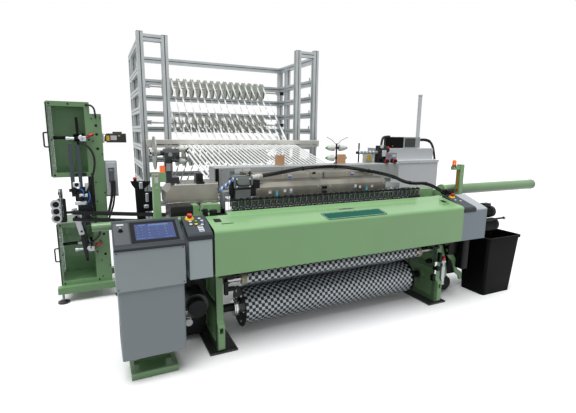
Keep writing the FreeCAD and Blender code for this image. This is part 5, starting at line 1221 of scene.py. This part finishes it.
# %% Spool
SPOOL_AXIS = (665, 1436)
COLLAR_IN = [(0, 9), (1, 15), (14, 15), (16, 11), (40, 11), (42, 16), (54, 16), (56, 8)]
COLLAR_OUT = [(0, 22), (2, 25), (6, 25), (8, 18), (14, 18), (15, 6)]
piece("spool_collars", [turned((-1404, *SPOOL_AXIS), RIGHT, COLLAR_IN, 28),
                        turned((-1420, *SPOOL_AXIS), LEFT, COLLAR_OUT, 28)], "silver_cast", "spool")
flats("spool_wing", "black_plastic", LEFT, (-1440, *SPOOL_AXIS, 14, 62, 8, 6, 2.5), body="spool")
piece("stand_plates", plates(FRONT, [(-1319, 638, 1330, 36, 60, 8, 5, 2), (-1304, 639, 1424, 50, 50, 10, 8, 3)])
      + [turned((-1304, 628, 1424), FRONT, [(0, 16), (8, 16), (10, 12), (18, 12), (19, 4)], 24)], "dull_steel")

# %% [markdown]
# A black valve block stands on the stainless hood, screws hold its lid and two folded edges stiffen its front.
# A relay box and dark housings fill the gap under it.

# %% Hood fittings
HOOD_TOP = 1210
flats("valve_block", "black_plastic", FRONT, (-1109, 525, HOOD_TOP + 44, 46, 62, 12, 5, 2),
      (-1109, 535, HOOD_TOP + 8, 60, 18, 40, 5, 2), (-1109, 512, HOOD_TOP + 46, 26, 34, 8, 8, 3))
bolts("hood_screws", "bright_steel", UP, 5,
      [(x, y, HOOD_TOP) for x, y in ((-1286, 548), (-970, 548), (-1290, 770), (-970, 770))])
flats("hood_edge", "steel", FRONT, (-1160, 539.5, 1066, 388, 10, 1.2, 3, 0.5),
      (-1130, 539.5, 1204, 330, 8, 1.2, 3, 0.5))
flats("relay_box", "label_white", FRONT, (-1050, 500, 1030, 34, 70, 30, 4, 2))
flats("relay_dark", "black_plastic", FRONT, (-1150, 520, 1015, 130, 90, 40, 8, 3),
      (-1010, 530, 1020, 40, 80, 30, 6, 3))

# %% [markdown]
# ## Posts and lamps
# The left post carries a blank label, the right one a gold light barrier strip.  The lamps sit on black feet,
# and the round lens is moulded with ribs.

# %% Posts
POST_X, LAMP = 1450, (1360, 350)
flats("post_label", "label_white", FRONT, (-POST_X, 322, 1280, 24, 58, 0.8, 2, 0.3))
flats("post_label_field", "label_red", FRONT, (-POST_X, 321.3, 1300, 20, 10, 0.6, 2, 0.2))
flats("barrier_strip", "gold_strip", LEFT, (1424.8, 350, 1163, 26, 222, 3.2, 3, 1))
flats("barrier_eye", "red_plastic", LEFT, (1421.5, 350, 1068, 20, 24, 6, 5, 2))
piece("post_feet", plates(UP, [(x, 350, 925, 66, 70, 14, 6, 2) for x in (-POST_X, POST_X)])
      + plates(FRONT, [(-POST_X, 318, 946, 46, 34, 10, 5, 2)]), "black_plastic")
flats("post_yellow", "yellow_plastic", FRONT, (-1412, 330, 958, 18, 40, 12, 4, 2))
rounds("lamp_feet", "black_plastic", UP,
       (*LAMP, 1270, [(0, 17), (12, 17), (14, 20.5), (34, 20.5), (36, 19.6)], 32))
flats("lamp_foot_left", "black_plastic", UP, (-1405, 350, 1309, 44, 46, 8, 5, 2))
rounds("lamp_ribs", "orange_lens", UP,
       *[(*LAMP, 1308 + 5 * k, [(0, 19.2), (1.2, 20), (2.4, 19.2)], 32) for k in range(5)])
bolts("post_screws", "steel", FRONT, 4, [(x, 322.4, z) for x in (-POST_X, POST_X) for z in (980, 1220)])

# %% [markdown]
# ## The tape tower
# The tower stores the weft tape behind two clear doors.  A door is a thin pane with a dark edge, a bent
# handle and a hinge barrel, so it is made of four pieces of different stuff that swing together.

# %% Clear doors
DOOR_X, DOOR_FRONT, DOOR_BACK, GRIP_Y, GRIP_HALF = -2172.5, 1634.0, 2040.0, 1644, 62
GRIP = [(2, 62), (30, 62), (40, 52), (40, 0), (40, -52), (30, -62), (2, -62)]
for name, low, high in (("upper", 1183.0, 1837.0), ("lower", 158.0, 744.0)):
    body = "door_" + name
    middle, tall = (low + high) / 2, high - low
    deep = DOOR_BACK - DOOR_FRONT - 10
    pane = flats("door_pane_" + name, "clear_pane", LEFT,
                 (DOOR_X, (DOOR_FRONT + DOOR_BACK - 10) / 2, middle, deep, tall, 4, 6, 0.6), body=body)
    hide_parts("tower_door_" + name)
    flats("door_edge_" + name, "black_plastic", LEFT, (DOOR_X, 1630.5, middle, 9, tall, 9, 2, 1),
          *[(DOOR_X - 0.4, 1835, z, 396, 10, 5, 2, 0.8) for z in (low + 6, high - 6)], body=body)
    grip = smooth_line([(DOOR_X - out, GRIP_Y, middle + rise) for out, rise in GRIP], 8)
    roots = [turned((DOOR_X - 3, GRIP_Y, middle + s * GRIP_HALF), LEFT, [(0, 12), (5, 12), (7, 9)], 20)
             for s in (-1, 1)]
    piece("door_handle_" + name, [pipe(grip, 6.5, 12, BACK)] + roots, "black_plastic", body)
    rounds("door_hinge_" + name, "steel", UP,
           (DOOR_X - 4, DOOR_BACK, low + 27, [(0, 3.2), (0.6, 4), (tall - 55, 4), (tall - 54, 3.2)], 16), body=body)

# %% [markdown]
# The tower's front carries black screws, plugs in the column's holes, red grips on the brake levers and a
# bright tilted arm.  A few loops place them.

# %% Tower fittings
TOWER_FACE = 1630
box_corners = [(x, TOWER_FACE, z) for x in (-2152, -1858) for z in (1196, 1510, 1824, 171, 451, 731)]
box_middles = [(-2005, TOWER_FACE, z) for z in (1196, 1824, 731)]
bolts("box_screws", "black_metal", FRONT, 6.5, box_corners + box_middles)
plugs = [(-1791, 1634, z) for z in (1640, 1560, 1430, 700, 620, 420)]
piece("column_plugs", many(turned, plugs, FRONT, [(0, 10), (4.6, 12.5), (6, 11), (6.6, 4)], 24), "black_plastic")
bolts("column_screws", "black_metal", FRONT, 5,
      [(-1826, TOWER_FACE, z) for z in (1700, 1500, 1300, 1120, 940, 760, 560, 360, 200)]
      + [(-1756, TOWER_FACE, z) for z in (1710, 1380, 1020, 820, 300)])
lever_way = np.array((0.9, 0, 0.44)) / math.hypot(0.9, 0.44)
BRAKE_GRIP = [(0, 9), (4, 11.5), (40, 11.5), (62, 13.5), (70, 12), (73, 6)]
grip_feet = [np.array((-1912, 1604, z)) + lever_way * 34 for z in (1518, 494)]
piece("brake_grips", many(turned, grip_feet, lever_way, BRAKE_GRIP, 24), "red_plastic")
arm_way = np.array((246, 0, 48)) / math.hypot(246, 48)
piece("tilted_arm", [plate((-1998, 1574, 771), FRONT, 46, 262, 7, 8, 2, arm_way)], "silver_cast")
bolts("tilted_arm_screws", "black_metal", FRONT, 8, [(-2020, 1567, 870), (-2010, 1567, 818), (-1976, 1567, 676)])

# %% [markdown]
# A compensator keeps the tape taut: three dark eyes in cast cups face the weaver, and four grooved discs
# on their own pins look to the left.  One turned profile serves for all cups and another for all discs.

# %% Compensator
CUP = [(0, 36), (1, 43), (5, 45), (9, 38), (13, 45), (18, 43), (21, 34), (18, 26), (18, 12)]
DISC = [(0, 34), (1, 41), (5, 43), (9, 36), (14, 43), (22, 41), (26, 30), (30, 22), (31, 10)]
CUP_LEVELS, DISC_LEVELS = (812, 876, 940), [848 + 62 * k for k in range(4)]
rounds("compensator_fronts", "silver_cast", FRONT, *[(-2163, 1584, z, CUP, 32) for z in CUP_LEVELS])
rounds("compensator_eyes", "black_plastic", FRONT,
       *[(-2163, 1566, z, [(0, 25), (3, 25), (5, 18), (6, 6)], 28) for z in CUP_LEVELS])
flats("compensator_plate", "black_metal", FRONT, (-2118, 1590, 880, 70, 220, 16, 14, 4))
rounds("compensator_discs", "dull_steel", LEFT, *[(-2106, 1604, z, DISC, 28) for z in DISC_LEVELS])
rounds("compensator_caps", "black_plastic", LEFT,
       *[(-2136.5, 1604, z, [(0, 13), (3, 13), (5, 9)], 18) for z in DISC_LEVELS])

# %% [markdown]
# Cast blocks and dark knobs set the tape's tension, and each spindle ends in a six-cornered nut and a disc.
# The chucks of the brakes stay on the tower while the spindles turn.

# %% Tension blocks and chucks
flats("tension_blocks", "silver_cast", FRONT, (-1985, 1588, 1110, 60, 46, 24, 6, 3),
      (-1935, 1584, 1010, 70, 30, 26, 5, 3), (-1962, 1580, 940, 96, 34, 14, 6, 3),
      (-1905, 1600, 1080, 34, 90, 18, 5, 3))
piece("tension_knobs",
      plates(FRONT, [(-2008, 1583, 1058, 44, 50, 22, 6, 3), (-1930, 1572, 1060, 24, 64, 20, 5, 3)])
      + lathed(FRONT, [(-1985, 1562, 1112, [(0, 16), (10, 16), (13, 12), (14, 4)], 24),
                       (-1950, 1564, 985, [(0, 20), (12, 20), (15, 15), (16, 5)], 24)])
      + plates(FRONT, [(-1990, 1596, 1010, 26, 110, 20, 5, 3)]), "black_plastic")
SPINDLE_Y, SPINDLES = 1850, {"upper": 1524, "lower": 500}
chucks = []
for name, z in SPINDLES.items():
    piece("spindle_nuts_" + name,
          [turned((-1994, SPINDLE_Y, z), LEFT, [(0, 24), (16, 24), (18, 20), (34, 20), (36, 15.2)], 24, 6),
           turned((-1929, SPINDLE_Y, z), RIGHT, [(0, 46), (4, 50), (10, 50), (12, 44)], 32)],
          "silver_cast", "spindle_" + name)
    chucks.append(plate((-1905, 1606, z - 4), FRONT, 52, 46, 26, 8, 3))
    chucks.append(turned((-1922, 1580, z + 8), FRONT, [(0, 20), (8, 20), (10, 17), (18, 17), (20, 12)], 28))
    chucks.append(turned((-1976, 1604, z - 2), LEFT, [(0, 13), (40, 13), (42, 18), (64, 18), (66, 12)], 24))
piece("brake_chucks", chucks, "silver_cast")

# %% [markdown]
# The servo on the column has a bright flange and bare labels.  Under it hangs the terminal box, a pale lid
# with four screws and one heavy plug.

# %% Servo and terminal box
flats("servo_label", "label_white", FRONT, (-1648, 1657.4, 1530, 54, 42, 0.8, 3, 0.3))
flats("servo_marks", "yellow_plastic", FRONT, (-1698, 1657.2, 1526, 26, 46, 0.8, 2, 0.3),
      (-1600, 1657.2, 1548, 20, 8, 0.8, 2, 0.3))
piece("servo_flange", plates(RIGHT, [(-1744, 1700, 1528, 92, 92, 14, 10, 3)])
      + [turned((-1730, 1700, 1528), RIGHT, [(0, 36), (6, 36), (8, 32), (22, 32)], 32)], "steel")
flats("terminal_lid", "cabinet_white", FRONT, (-1690, 1650, 1145, 98, 318, 9, 10, 3))
bolts("terminal_lid_screws", "steel", FRONT, 5, [(x, 1641, z) for x in (-1728, -1652) for z in (1000, 1290)])
piece("terminal_plug", plates(FRONT, [(-1691, 1613, 1180, 40, 104, 10, 6, 3)])
      + plates(UP, [(-1691, 1640, 1244, 56, 34, 10, 5, 2)]), "slate_bar")

# %% [markdown]
# Black cables and two blue air lines join the tower's fittings.  A spline stays soft between its few control
# points, as a cable does that is held at both ends.  A red knob and cast blocks sit on the tape stand.

# %% Tower lines
tower_lines = {
    "cable_top": (8, "rubber", [(-1866, 1624, 1815), (-1838, 1600, 1824), (-1800, 1596, 1800), (-1791, 1602, 1750),
                                (-1791, 1622, 1706)]),
    "cable_guide": (9, "rubber", [(-1936, 1582, 1490), (-1880, 1564, 1470), (-1828, 1558, 1390),
                                  (-1822, 1560, 1290), (-1850, 1560, 1180), (-1905, 1572, 1036)]),
    "cable_plug": (12, "rubber", [(-1691, 1606, 1130), (-1691, 1600, 1060), (-1700, 1598, 980), (-1716, 1598, 900),
                                  (-1744, 1622, 800)]),
    "cable_plug_two": (9, "rubber", [(-1668, 1612, 1130), (-1668, 1606, 1050), (-1680, 1602, 960),
                                     (-1694, 1602, 880), (-1736, 1622, 770)]),
    "cable_lower": (8, "rubber", [(-1948, 1588, 860), (-1880, 1570, 800), (-1822, 1562, 700), (-1826, 1564, 600),
                                  (-1938, 1588, 540)]),
    "air_line_one": (4.5, "blue_line", [(-1975, 1586, 1064), (-1940, 1548, 1080), (-1925, 1542, 1010),
                                        (-1945, 1570, 955)]),
    "air_line_two": (4.5, "blue_line", [(-1900, 1586, 1058), (-1878, 1556, 1010), (-1890, 1550, 950),
                                        (-1925, 1570, 930)]),
}
for name, (radius, tint, points) in tower_lines.items():
    small_line(name, points, radius, tint)
rounds("stand_knob", "red_plastic", UP, (-1512, 1290, 1176, [(0, 18), (10, 18), (12, 14), (18, 8)], 24))
flats("stand_blocks", "silver_cast", FRONT, (-1466, 1269, 1120, 30, 60, 24, 5, 3),
      (-1420, 1262, 1010, 26, 80, 22, 5, 3), (-1430, 1262, 930, 40, 30, 26, 5, 3))

# %% [markdown]
# ## The warp
# Sixty-four flat tapes run from the reels through the guide bar and over the back rest to the reed.  A tape is
# a ribbon carried along a line: its middle follows the path, and its width turns about it, because a flat
# tape under light tension always twists on a long free run.  From the guide bar on, the tapes run in pairs,
# one above the other, and part again at the reed.

# %% Tape ribbons
TAPE_WIDTH, TAPE_PITCH, TAPE_THICK = 22.0, 26.25, 1.0
SHAFT_Y, REEL_CORE = 3940.0, 105.4
BAR_Y, BAR_Z, BAR_HALF = 2825.0, 1426.0, 28
ROW_LEVELS = [2251.0, 1721.0, 1191.0, 661.0]
REST_AND_REED = [(1362.0, 1103.4), (1336.0, 1102.4), (325, 1010)]
PAIR_LIFT, PAIR_DRAW = 6.4, 0.94
PAIR_FROM, PAIR_WITHIN, PART_FROM, PART_WITHIN = 2, 0.25, 4.02, 0.2
FIRST_EDGE, REELS = -840, 16


def tape_route(row):
    """(y, z) points of a row's tape: off the reel core's tangent, through the bar, over the rest, to the reed."""
    gap_y, gap_z = BAR_Y + BAR_HALF - SHAFT_Y, BAR_Z - ROW_LEVELS[row]
    angle = math.atan2(gap_z, gap_y) - math.acos(REEL_CORE / math.hypot(gap_y, gap_z))
    leave = (SHAFT_Y + REEL_CORE * math.cos(angle), ROW_LEVELS[row] + REEL_CORE * math.sin(angle))
    return np.array([leave, (BAR_Y + BAR_HALF, BAR_Z), (BAR_Y - BAR_HALF, BAR_Z), *REST_AND_REED])


def ribbon(middle, x_shift, twist, wide, thick):
    """Two edges at half a width each side of the middle, in a direction turned by the twist, and the same
    pair lowered by the thickness: four points for each step of the line."""
    along = ways_of(middle)
    flat = np.broadcast_to((1.0, 0.0, 0.0), middle.shape)
    flat = flat - along * (flat * along).sum(axis=1, keepdims=True)
    lift = np.cross(flat, along)
    reach = np.cos(twist)[:, None] * flat + np.sin(twist)[:, None] * lift
    low = np.cross(reach, along)
    middle = middle + np.stack([x_shift, 0 * x_shift, 0 * x_shift], axis=1)
    half, drop = reach * wide / 2, low * thick / 2
    return skin(np.stack([middle - half - drop, middle + half - drop, middle + half + drop, middle - half + drop],
                         axis=1))


STEPS = np.array([40, 2, 36, 3, 30])
ribbons = []
for row in range(4):
    route = tape_route(row)
    shares = np.concatenate([np.linspace(k, k + 1, n, endpoint=False) for k, n in enumerate(STEPS)] + [[len(STEPS)]])
    path = np.stack([np.interp(shares, np.arange(len(route)), route[:, k]) for k in (0, 1)], axis=1)
    free = np.clip(shares, 0, 1)
    joined = np.sin(np.clip((shares - PAIR_FROM) / PAIR_WITHIN, 0, 1) * math.pi / 2)
    paired = joined * (1 - np.clip((shares - PART_FROM) / PART_WITHIN, 0, 1))
    lift = (PAIR_LIFT if row % 2 else 0.0) * paired
    to_pair = TAPE_PITCH / 2 if row % 2 == 0 else -TAPE_PITCH / 2
    for k in range(REELS):
        x = FIRST_EDGE + TAPE_PITCH * (4 * k + row + 0.5)
        turns = 3 + (k * 7 + row * 3) % 3
        twist = turns * math.pi * (free - np.sin(2 * math.pi * free) / (2 * math.pi))
        middle = np.stack([np.full(len(path), x), path[:, 0], path[:, 1] + lift], axis=1)
        ribbons.append(ribbon(middle, to_pair * paired * PAIR_DRAW, twist, TAPE_WIDTH, TAPE_THICK))
warp = piece("tape_ribbons", ribbons, "white_tape", smooth=50)
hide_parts("warp_tapes")

# %% [markdown]
# ## The creel
# The posts and rails are slotted profiles.  Dark strips lie in their slots as painted shade, and they are what
# makes a profile read as a profile from far away.  A strip is given by two points on the profile's axis and
# the face that it lies in.

# %% Painted slot shade
PROFILE, SLOT_SHADE_WIDE = 80.0, 11.6
creel_z = [2668.0] + [2343.0 - 240 * k for k in range(10)]
shaded_slot_plates = []


def lay_slot_shade(start, end, faces):
    """Dark strips of painted shade from start to end on a profile's axis, one in the slot of each face, 1 mm under
    it.
    """
    start, end = np.asarray(start, float), np.asarray(end, float)
    way = end - start
    tall = np.linalg.norm(way)
    for outward in np.asarray(faces, float):
        middle = (start + end) / 2 + outward * (PROFILE / 2 - 5)
        shaded_slot_plates.append(plate(middle, outward, SLOT_SHADE_WIDE, tall, 4, 1, 0.3, np.cross(way, outward)))


ROUND_X, ROUND_Y, ROUND_Z = (BACK, FRONT, UP, DOWN), (RIGHT, LEFT, UP, DOWN), (RIGHT, LEFT, BACK, FRONT)
SIDE_X, RAIL_END, FRONT_Y, BACK_Y, HALF = 1236, 1194, 2980, 4240, 42
posts = [(s * x, y, top) for s in (-1, 1) for x, y, top in ((SIDE_X, FRONT_Y, 2790), (SIDE_X, BACK_Y, 2700),
                                                            (944, FRONT_Y, 2770), (SIDE_X, 3940, 2628))]
for x, y, top in posts:
    lay_slot_shade((x, y, 4), (x, y, top - 4), ROUND_Z)
for z in creel_z:
    lay_slot_shade((-RAIL_END, BACK_Y, z), (RAIL_END, BACK_Y, z), ROUND_X)
    for side in (-1, 1):
        for near, far in ((FRONT_Y, 3940), (3940, BACK_Y)):
            lay_slot_shade((side * SIDE_X, near + HALF, z), (side * SIDE_X, far - HALF, z), ROUND_Y)
for side in (-1, 1):
    for z in (2728, 183):
        lay_slot_shade((side * 986, FRONT_Y, z), (side * RAIL_END, FRONT_Y, z), ROUND_X)
# The strips stand in for the shade inside the slots.
piece("slot_shade_strips", shaded_slot_plates, "slot_shade_grey")
flats("post_caps", "black_plastic", UP, *[(*post, 79, 79, 5, 6, 1.5) for post in posts[:3] + posts[4:7]])

# %% [markdown]
# Each reel shaft rests in black blocks on cast brackets, between bright collars.  Small cast plates join the
# rails to the posts, and sixty-five pins in the guide bar keep the tapes apart.

# %% Shaft brackets and corners
COLLAR_PROFILE = [(0.5, 13), (0.5, 30), (14, 30), (16, 26), (16, 13)]
brackets, blocks, ends, corner_plates = [], [], [], []
for z in ROW_LEVELS:
    for side in (-1, 1):
        blocks.append(plate((side * 1118, 3917.4, z), FRONT, 62, 56, 14, 5, 2))
        ends.append(turned((side * 1042, SHAFT_Y, z), (-side, 0, 0), COLLAR_PROFILE, 24))
        brackets.append(plate((side * 1090, SHAFT_Y, z + 24.2), UP, 150, 60, 8, 4, 1.5))
piece("shaft_blocks", blocks, "black_plastic")
piece("shaft_collars", ends, "bright_steel")
piece("shaft_brackets", brackets, "silver_cast")
for side in (-1, 1):
    for z in creel_z[1:]:
        corner_plates.append(plate((side * 1195.8, 3060, z + 60), (-side, 0, 0), 38, 38, 3, 4, 1, BACK))
        corner_plates.append(plate((side * 1172, 4199.8, z - 62), FRONT, 36, 36, 3, 4, 1))
piece("corner_plates", corner_plates, "silver_cast")
pins = [(x, BAR_Y - 26, BAR_Z + 20) for x in FIRST_EDGE + TAPE_PITCH * np.arange(4 * REELS + 1)]
piece("bar_pins", many(turned, pins, FRONT, [(0, 4), (2, 4.6), (3, 3)], 8), "steel")
flats("bar_clamps", "bar_beige", FRONT,
      *[(side * 1206, BAR_Y - 25.5, BAR_Z + 20, 46, 88, 12, 5, 2) for side in (-1, 1)])

# %% [markdown]
# ## Between the guards and the cover
# A dark green sheet stands behind the dents, above the tapes, as painted shade, and a row of black links runs
# before them.  The row repeats at every second tape, so one loop lays it.

# %% Shade sheet behind the reed, and links
# The dark green sheet behind the dents is painted shade.
flats("reed_shade_sheet", "reed_shade_green", FRONT, (0, 349, 1056, 1830, 58, 2.6, 4, 1), body="sley")
links, teeth = [], []
for x in np.arange(-17, 18) * 2 * TAPE_PITCH:
    links += plates(FRONT, [(x - 9, 330, 1043, 30, 25, 12, 9, 4), (x + 18, 331, 1037, 24, 17, 8, 7, 3)])
    teeth += plates(FRONT, [(x, 332, 1020, 50, 16, 6, 3, 1.5), (x - 10, 331, 1108, 22, 13, 8, 4, 2),
                            (x + 16, 332, 1104, 10, 9, 6, 3, 1.5)])
piece("reed_links", links, "link_grey", "sley")
piece("reed_teeth", teeth, "black_metal", "sley")

# %% [markdown]
# ## Left drive
# Under the hood the machine is black: gear case, belt guard and motor, with a bright oil pump beside it.
# Castings have wide corners and bevels, because a mould needs them.

# %% Left drive cases
piece("left_gear_case", plates(UP, [(-1220, 620, 20, 210, 300, 222, 24, 8)])
      + plates(FRONT, [(-1216, 500, 130, 200, 190, 70, 30, 8)])
      + lathed(FRONT, [(-1165, 466, 160, [(0, 58), (30, 58), (34, 52), (52, 52), (54, 20)], 36)])
      + plates(FRONT, [(-1262, 470, 520, 90, 160, 60, 12, 5), (-1160, 480, 640, 110, 220, 60, 12, 5)])
      + lathed(FRONT, [(-1250, 420, 640, [(0, 46), (40, 46), (43, 40), (60, 40), (62, 12)], 32)]), "black_metal")
rounds("motor_fins_left", "black_metal", BACK,
       *[(-1212, 238 + 16 * k, 330, [(0, 60), (0.5, 66), (5, 66), (5.5, 60)], 36) for k in range(4)])
PUMP = [(0, 26), (16, 26), (18, 20), (44, 20), (46, 26), (58, 26), (60, 12)]
piece("oil_pump", lathed(FRONT, [(-1290, 250, 262, PUMP, 28)])
      + plates(FRONT, [(-1302, 300, 300, 34, 60, 50, 6, 3)]), "dull_steel")

# %% [markdown]
# Brackets, a cream sleeve and a few bright shafts fill the dark room between the side frames and under the
# cover.  Only their outlines show, so plain plates and turned ends are enough.

# %% Under the cover
flats("left_brackets", "black_metal", FRONT, (-985, 236, 560, 60, 46, 50, 8, 3),
      (-1000, 190, 600, 40, 60, 24, 6, 3), (-952, 300, 430, 70, 26, 40, 6, 3), (-1016, 210, 480, 30, 110, 30, 6, 3))
rounds("left_sleeve", "roller_cream", RIGHT,
       (-1038, 232, 566, [(0, 22), (4, 26), (70, 26), (74, 22), (86, 22), (88, 12)], 32))
piece("right_brackets",
      plates(FRONT, [(1030, 150, 470, 28, 90, 40, 6, 3), (1000, 190, 560, 90, 24, 40, 6, 3),
                     (1024, 180, 360, 36, 44, 60, 8, 3), (1028, 210, 250, 30, 60, 40, 6, 3)])
      + lathed(LEFT, [(1044, 330, 520, [(0, 34), (20, 34), (23, 28), (40, 28), (41, 10)], 32),
                      (1044, 250, 400, [(0, 22), (30, 22), (32, 16), (50, 16), (51, 6)], 28),
                      (1044, 500, 440, [(0, 40), (14, 40), (16, 34), (30, 34), (31, 10)], 32)]), "black_metal")
piece("right_bright_parts", lathed(UP, [(1020, 160, 300, [(0, 9), (60, 9), (62, 14), (120, 14), (122, 8)], 20)])
      + lathed(RIGHT, [(960, 200, 596, [(0, 8), (70, 8), (72, 12), (86, 12)], 20)]), "bright_steel")
flats("cover_hinge_blocks", "black_metal", DOWN,
      *[(x, 60, 646, 60, 34, 26, 5, 2) for x in (-1080, -830, 840, 930, 1060)])

# %% [markdown]
# ## Right side
# Black connectors stand over the right desk, and the two motors beside the cabinet are ribbed for cooling.
# A rib is a low ring, and a loop lays one after another along the motor's axis.

# %% Right side fittings
DESK_WAY = (0, -0.3, 1)
piece("right_connectors",
      plates(DESK_WAY, [(1178, 240, 1046, 60, 44, 46, 10, 5), (1240, 262, 1052, 54, 40, 38, 10, 5)])
      + lathed(DESK_WAY, [(1150, 262, 1048, [(0, 26), (20, 26), (23, 20), (40, 20), (42, 12)], 28)]),
      "black_plastic")
rounds("motor_ribs", "black_plastic", RIGHT,
       *[(1478 + 16 * k, 112, 868, [(0, 53), (0.6, 58), (6, 58), (6.6, 53)], 36) for k in range(9)],
       *[(1470 + 18 * k, 92, 744, [(0, 59), (0.6, 63), (7, 63), (7.6, 59)], 36) for k in range(11)])
bolts("motor_bolts", "bright_steel", RIGHT, 6, round_axis(1650, 112, 868, 34, 4, 0.6))
flats("motor_boxes", "black_plastic", UP, (1560, 112, 924, 90, 60, 30, 8, 3))
rounds("shaft_nut", "bright_steel", RIGHT,
       (1731, 30, 812, [(0, 15), (3, 17), (14, 17), (17, 12), (18, 5)], 24, 6))

# %% [markdown]
# The weft feeder on the beam shows red rings, black knobs and a ribbed cast nose.  Its marks are bare.  The
# nose is one short turned ring, laid five times in a row.

# %% Weft feeder
RING = [(0, 24), (1, 27), (7, 27), (8, 22), (8, 14)]
KNOB_SPOTS = (1010, 1120)
piece("feeder_rings", lathed(FRONT, [(x, 941, 1312, RING, 32) for x in KNOB_SPOTS])
      + lathed(RIGHT, [(1097, 1050, 1430, [(0, 33), (1, 35), (8, 35), (9, 30)], 32)]), "red_plastic")
rounds("feeder_knobs", "black_plastic", FRONT,
       *[(x, 934, 1312, [(0, 17), (16, 17), (20, 13), (21, 5)], 28) for x in KNOB_SPOTS])
piece("feeder_nose", lathed(RIGHT, [(716 + 46 * k, 1050, 1400, [(0, 18), (3, 20), (12, 20), (15, 18)], 28)
                                    for k in range(5)])
      + plates(FRONT, [(1014, 1003, 1390, 60, 70, 12, 10, 4), (980, 1004, 1462, 40, 30, 14, 8, 3)]), "silver_cast")
rounds("feeder_panel_keys", "red_plastic", FRONT,
       *[(x, 985, 1370, [(0, 6), (3, 6), (4.5, 4)], 16) for x in (1060, 1085)])
flats("feeder_marks", "label_white", FRONT, (1145, 985.4, 1366, 50, 26, 0.8, 3, 0.3))
flats("feeder_yellow", "yellow_plastic", FRONT, (884, 1095, 1350, 26, 90, 10, 5, 2))

# %% [markdown]
# Spare yarn waits on green-tipped cones, four on the cone stand and two smaller ones on the bobbin stand.
# Wound yarn has a soft belly, so a cone of it is one turned profile with rounded ends.

# %% Cones
CONE_X, CONE_Y, STAND_Y, STAND_LEVELS = 450, 1070, 664, (1462, 1372)
CONE = [(0, 20), (2, 33), (6, 36), (70, 25), (76, 22), (79, 13)]
STAND_CONE = [(0, 12), (2, 20), (6, 24), (44, 17), (50, 14), (52, 6)]
eyelets = [smooth_line([(CONE_X + s * 14, 1070, 1490), (CONE_X + s * 60, 1066, 1530), (CONE_X + s * 128, 1060, 1560)],
                       6) for s in (-1, 1)]
piece("cone_eyelets", [pipe(line, 2.4, 8) for line in eyelets], "black_metal")
piece("cone_yarn", [turned((CONE_X + side * 31, CONE_Y, z), (side, 0, 0), CONE, 36)
                    for side in (-1, 1) for z in (1348, 1450)], "yarn_white")
rounds("stand_yarn", "yarn_white", RIGHT, *[(-1236, STAND_Y, z, STAND_CONE, 32) for z in STAND_LEVELS])
piece("stand_yarn_rods", lathed(RIGHT, [(-1298, STAND_Y, z, [(0, 6), (62, 6)], 16) for z in STAND_LEVELS])
      + plates(RIGHT, [(-1296, STAND_Y, STAND_LEVELS[1], 30, 30, 12, 5, 2)]), "black_metal")
rounds("stand_yarn_tips", "green_plastic", RIGHT,
       *[(-1184, STAND_Y, z, [(0, 8), (10, 6), (12, 3)], 20) for z in STAND_LEVELS])

# %% [markdown]
# Outside the right frame stands the other gear case with two round wheel covers, and a green cast arm hangs
# beside it like a hook.  The arm is a flat bar whose width swells and narrows along a curved line.

# %% Right gear case and hook arm
piece("right_gear_case", plates(UP, [(1318, 590, 24, 184, 380, 540, 34, 12)])
      + lathed(FRONT, [(1300, 398, 250, [(0, 88), (30, 88), (36, 80), (52, 80), (55, 30)], 44)])
      + plates(FRONT, [(1290, 400, 500, 110, 120, 190, 14, 5)])
      + lathed(FRONT, [(1345, 398, 96, [(0, 80), (54, 80), (60, 72), (78, 72), (80, 30)], 44)])
      + plates(UP, [(1395, 200, 300, 84, 120, 352, 18, 6), (1484, 480, 170, 152, 240, 430, 24, 8),
                    (1300, 236, 470, 110, 60, 90, 12, 4)]), "black_metal")
hook_line = smooth_line([(1250, 236, 505), (1272, 236, 440), (1326, 236, 388), (1350, 236, 330), (1378, 236, 262),
                         (1436, 236, 214), (1450, 236, 160)], 6)
hook_wide = np.interp(np.linspace(0, 1, len(hook_line)), np.linspace(0, 1, 6), (40, 58, 46, 40, 52, 30))
piece("right_hook_arm", [flat_bar(hook_line, hook_wide, 26, FRONT)], "green_paint")

# %% [markdown]
# The display stands on the pale control cabinet.  Two black hoses feed it, the right one through a row of
# moulded rings, and its screen is off.  The rings sit on the hose's own line.

# %% Rear cabinet
RIPPLE = [(0, 16), (1, 19.5), (7, 19.5), (8, 16)]
small_line("display_hose_left", [(1500, 1640, 1262), (1496, 1660, 1400), (1540, 1700, 1540), (1600, 1722, 1566),
                                 (1680, 1722, 1566)], 15, "rubber")
bend = small_line("display_hose_right", [(2185, 1722, 1522), (2340, 1720, 1540), (2450, 1704, 1440),
                                         (2452, 1670, 1262)], 16, "rubber")
way = ways_of(bend)
piece("display_hose_rings", [turned(bend[k] - way[k] * 4, way[k], RIPPLE, 20) for k in range(4, 22, 2)],
      "black_plastic")
flats("display_half", "bin_plastic", FRONT, (1751, 1699.4, 1487, 288, 140, 1.2, 4, 0.4))
flats("display_screen", "screen_off", FRONT, (2010, 1687.4, 1488, 166, 100, 0.8, 3, 0.2))
flats("display_lamp", "yellow_plastic", FRONT, (1718, 1697.8, 1444, 12, 8, 0.8, 2, 0.2))
bolts("cabinet_screws", "steel", FRONT, 5, [(x, 1592, 1241) for x in np.linspace(1600, 2420, 6)])
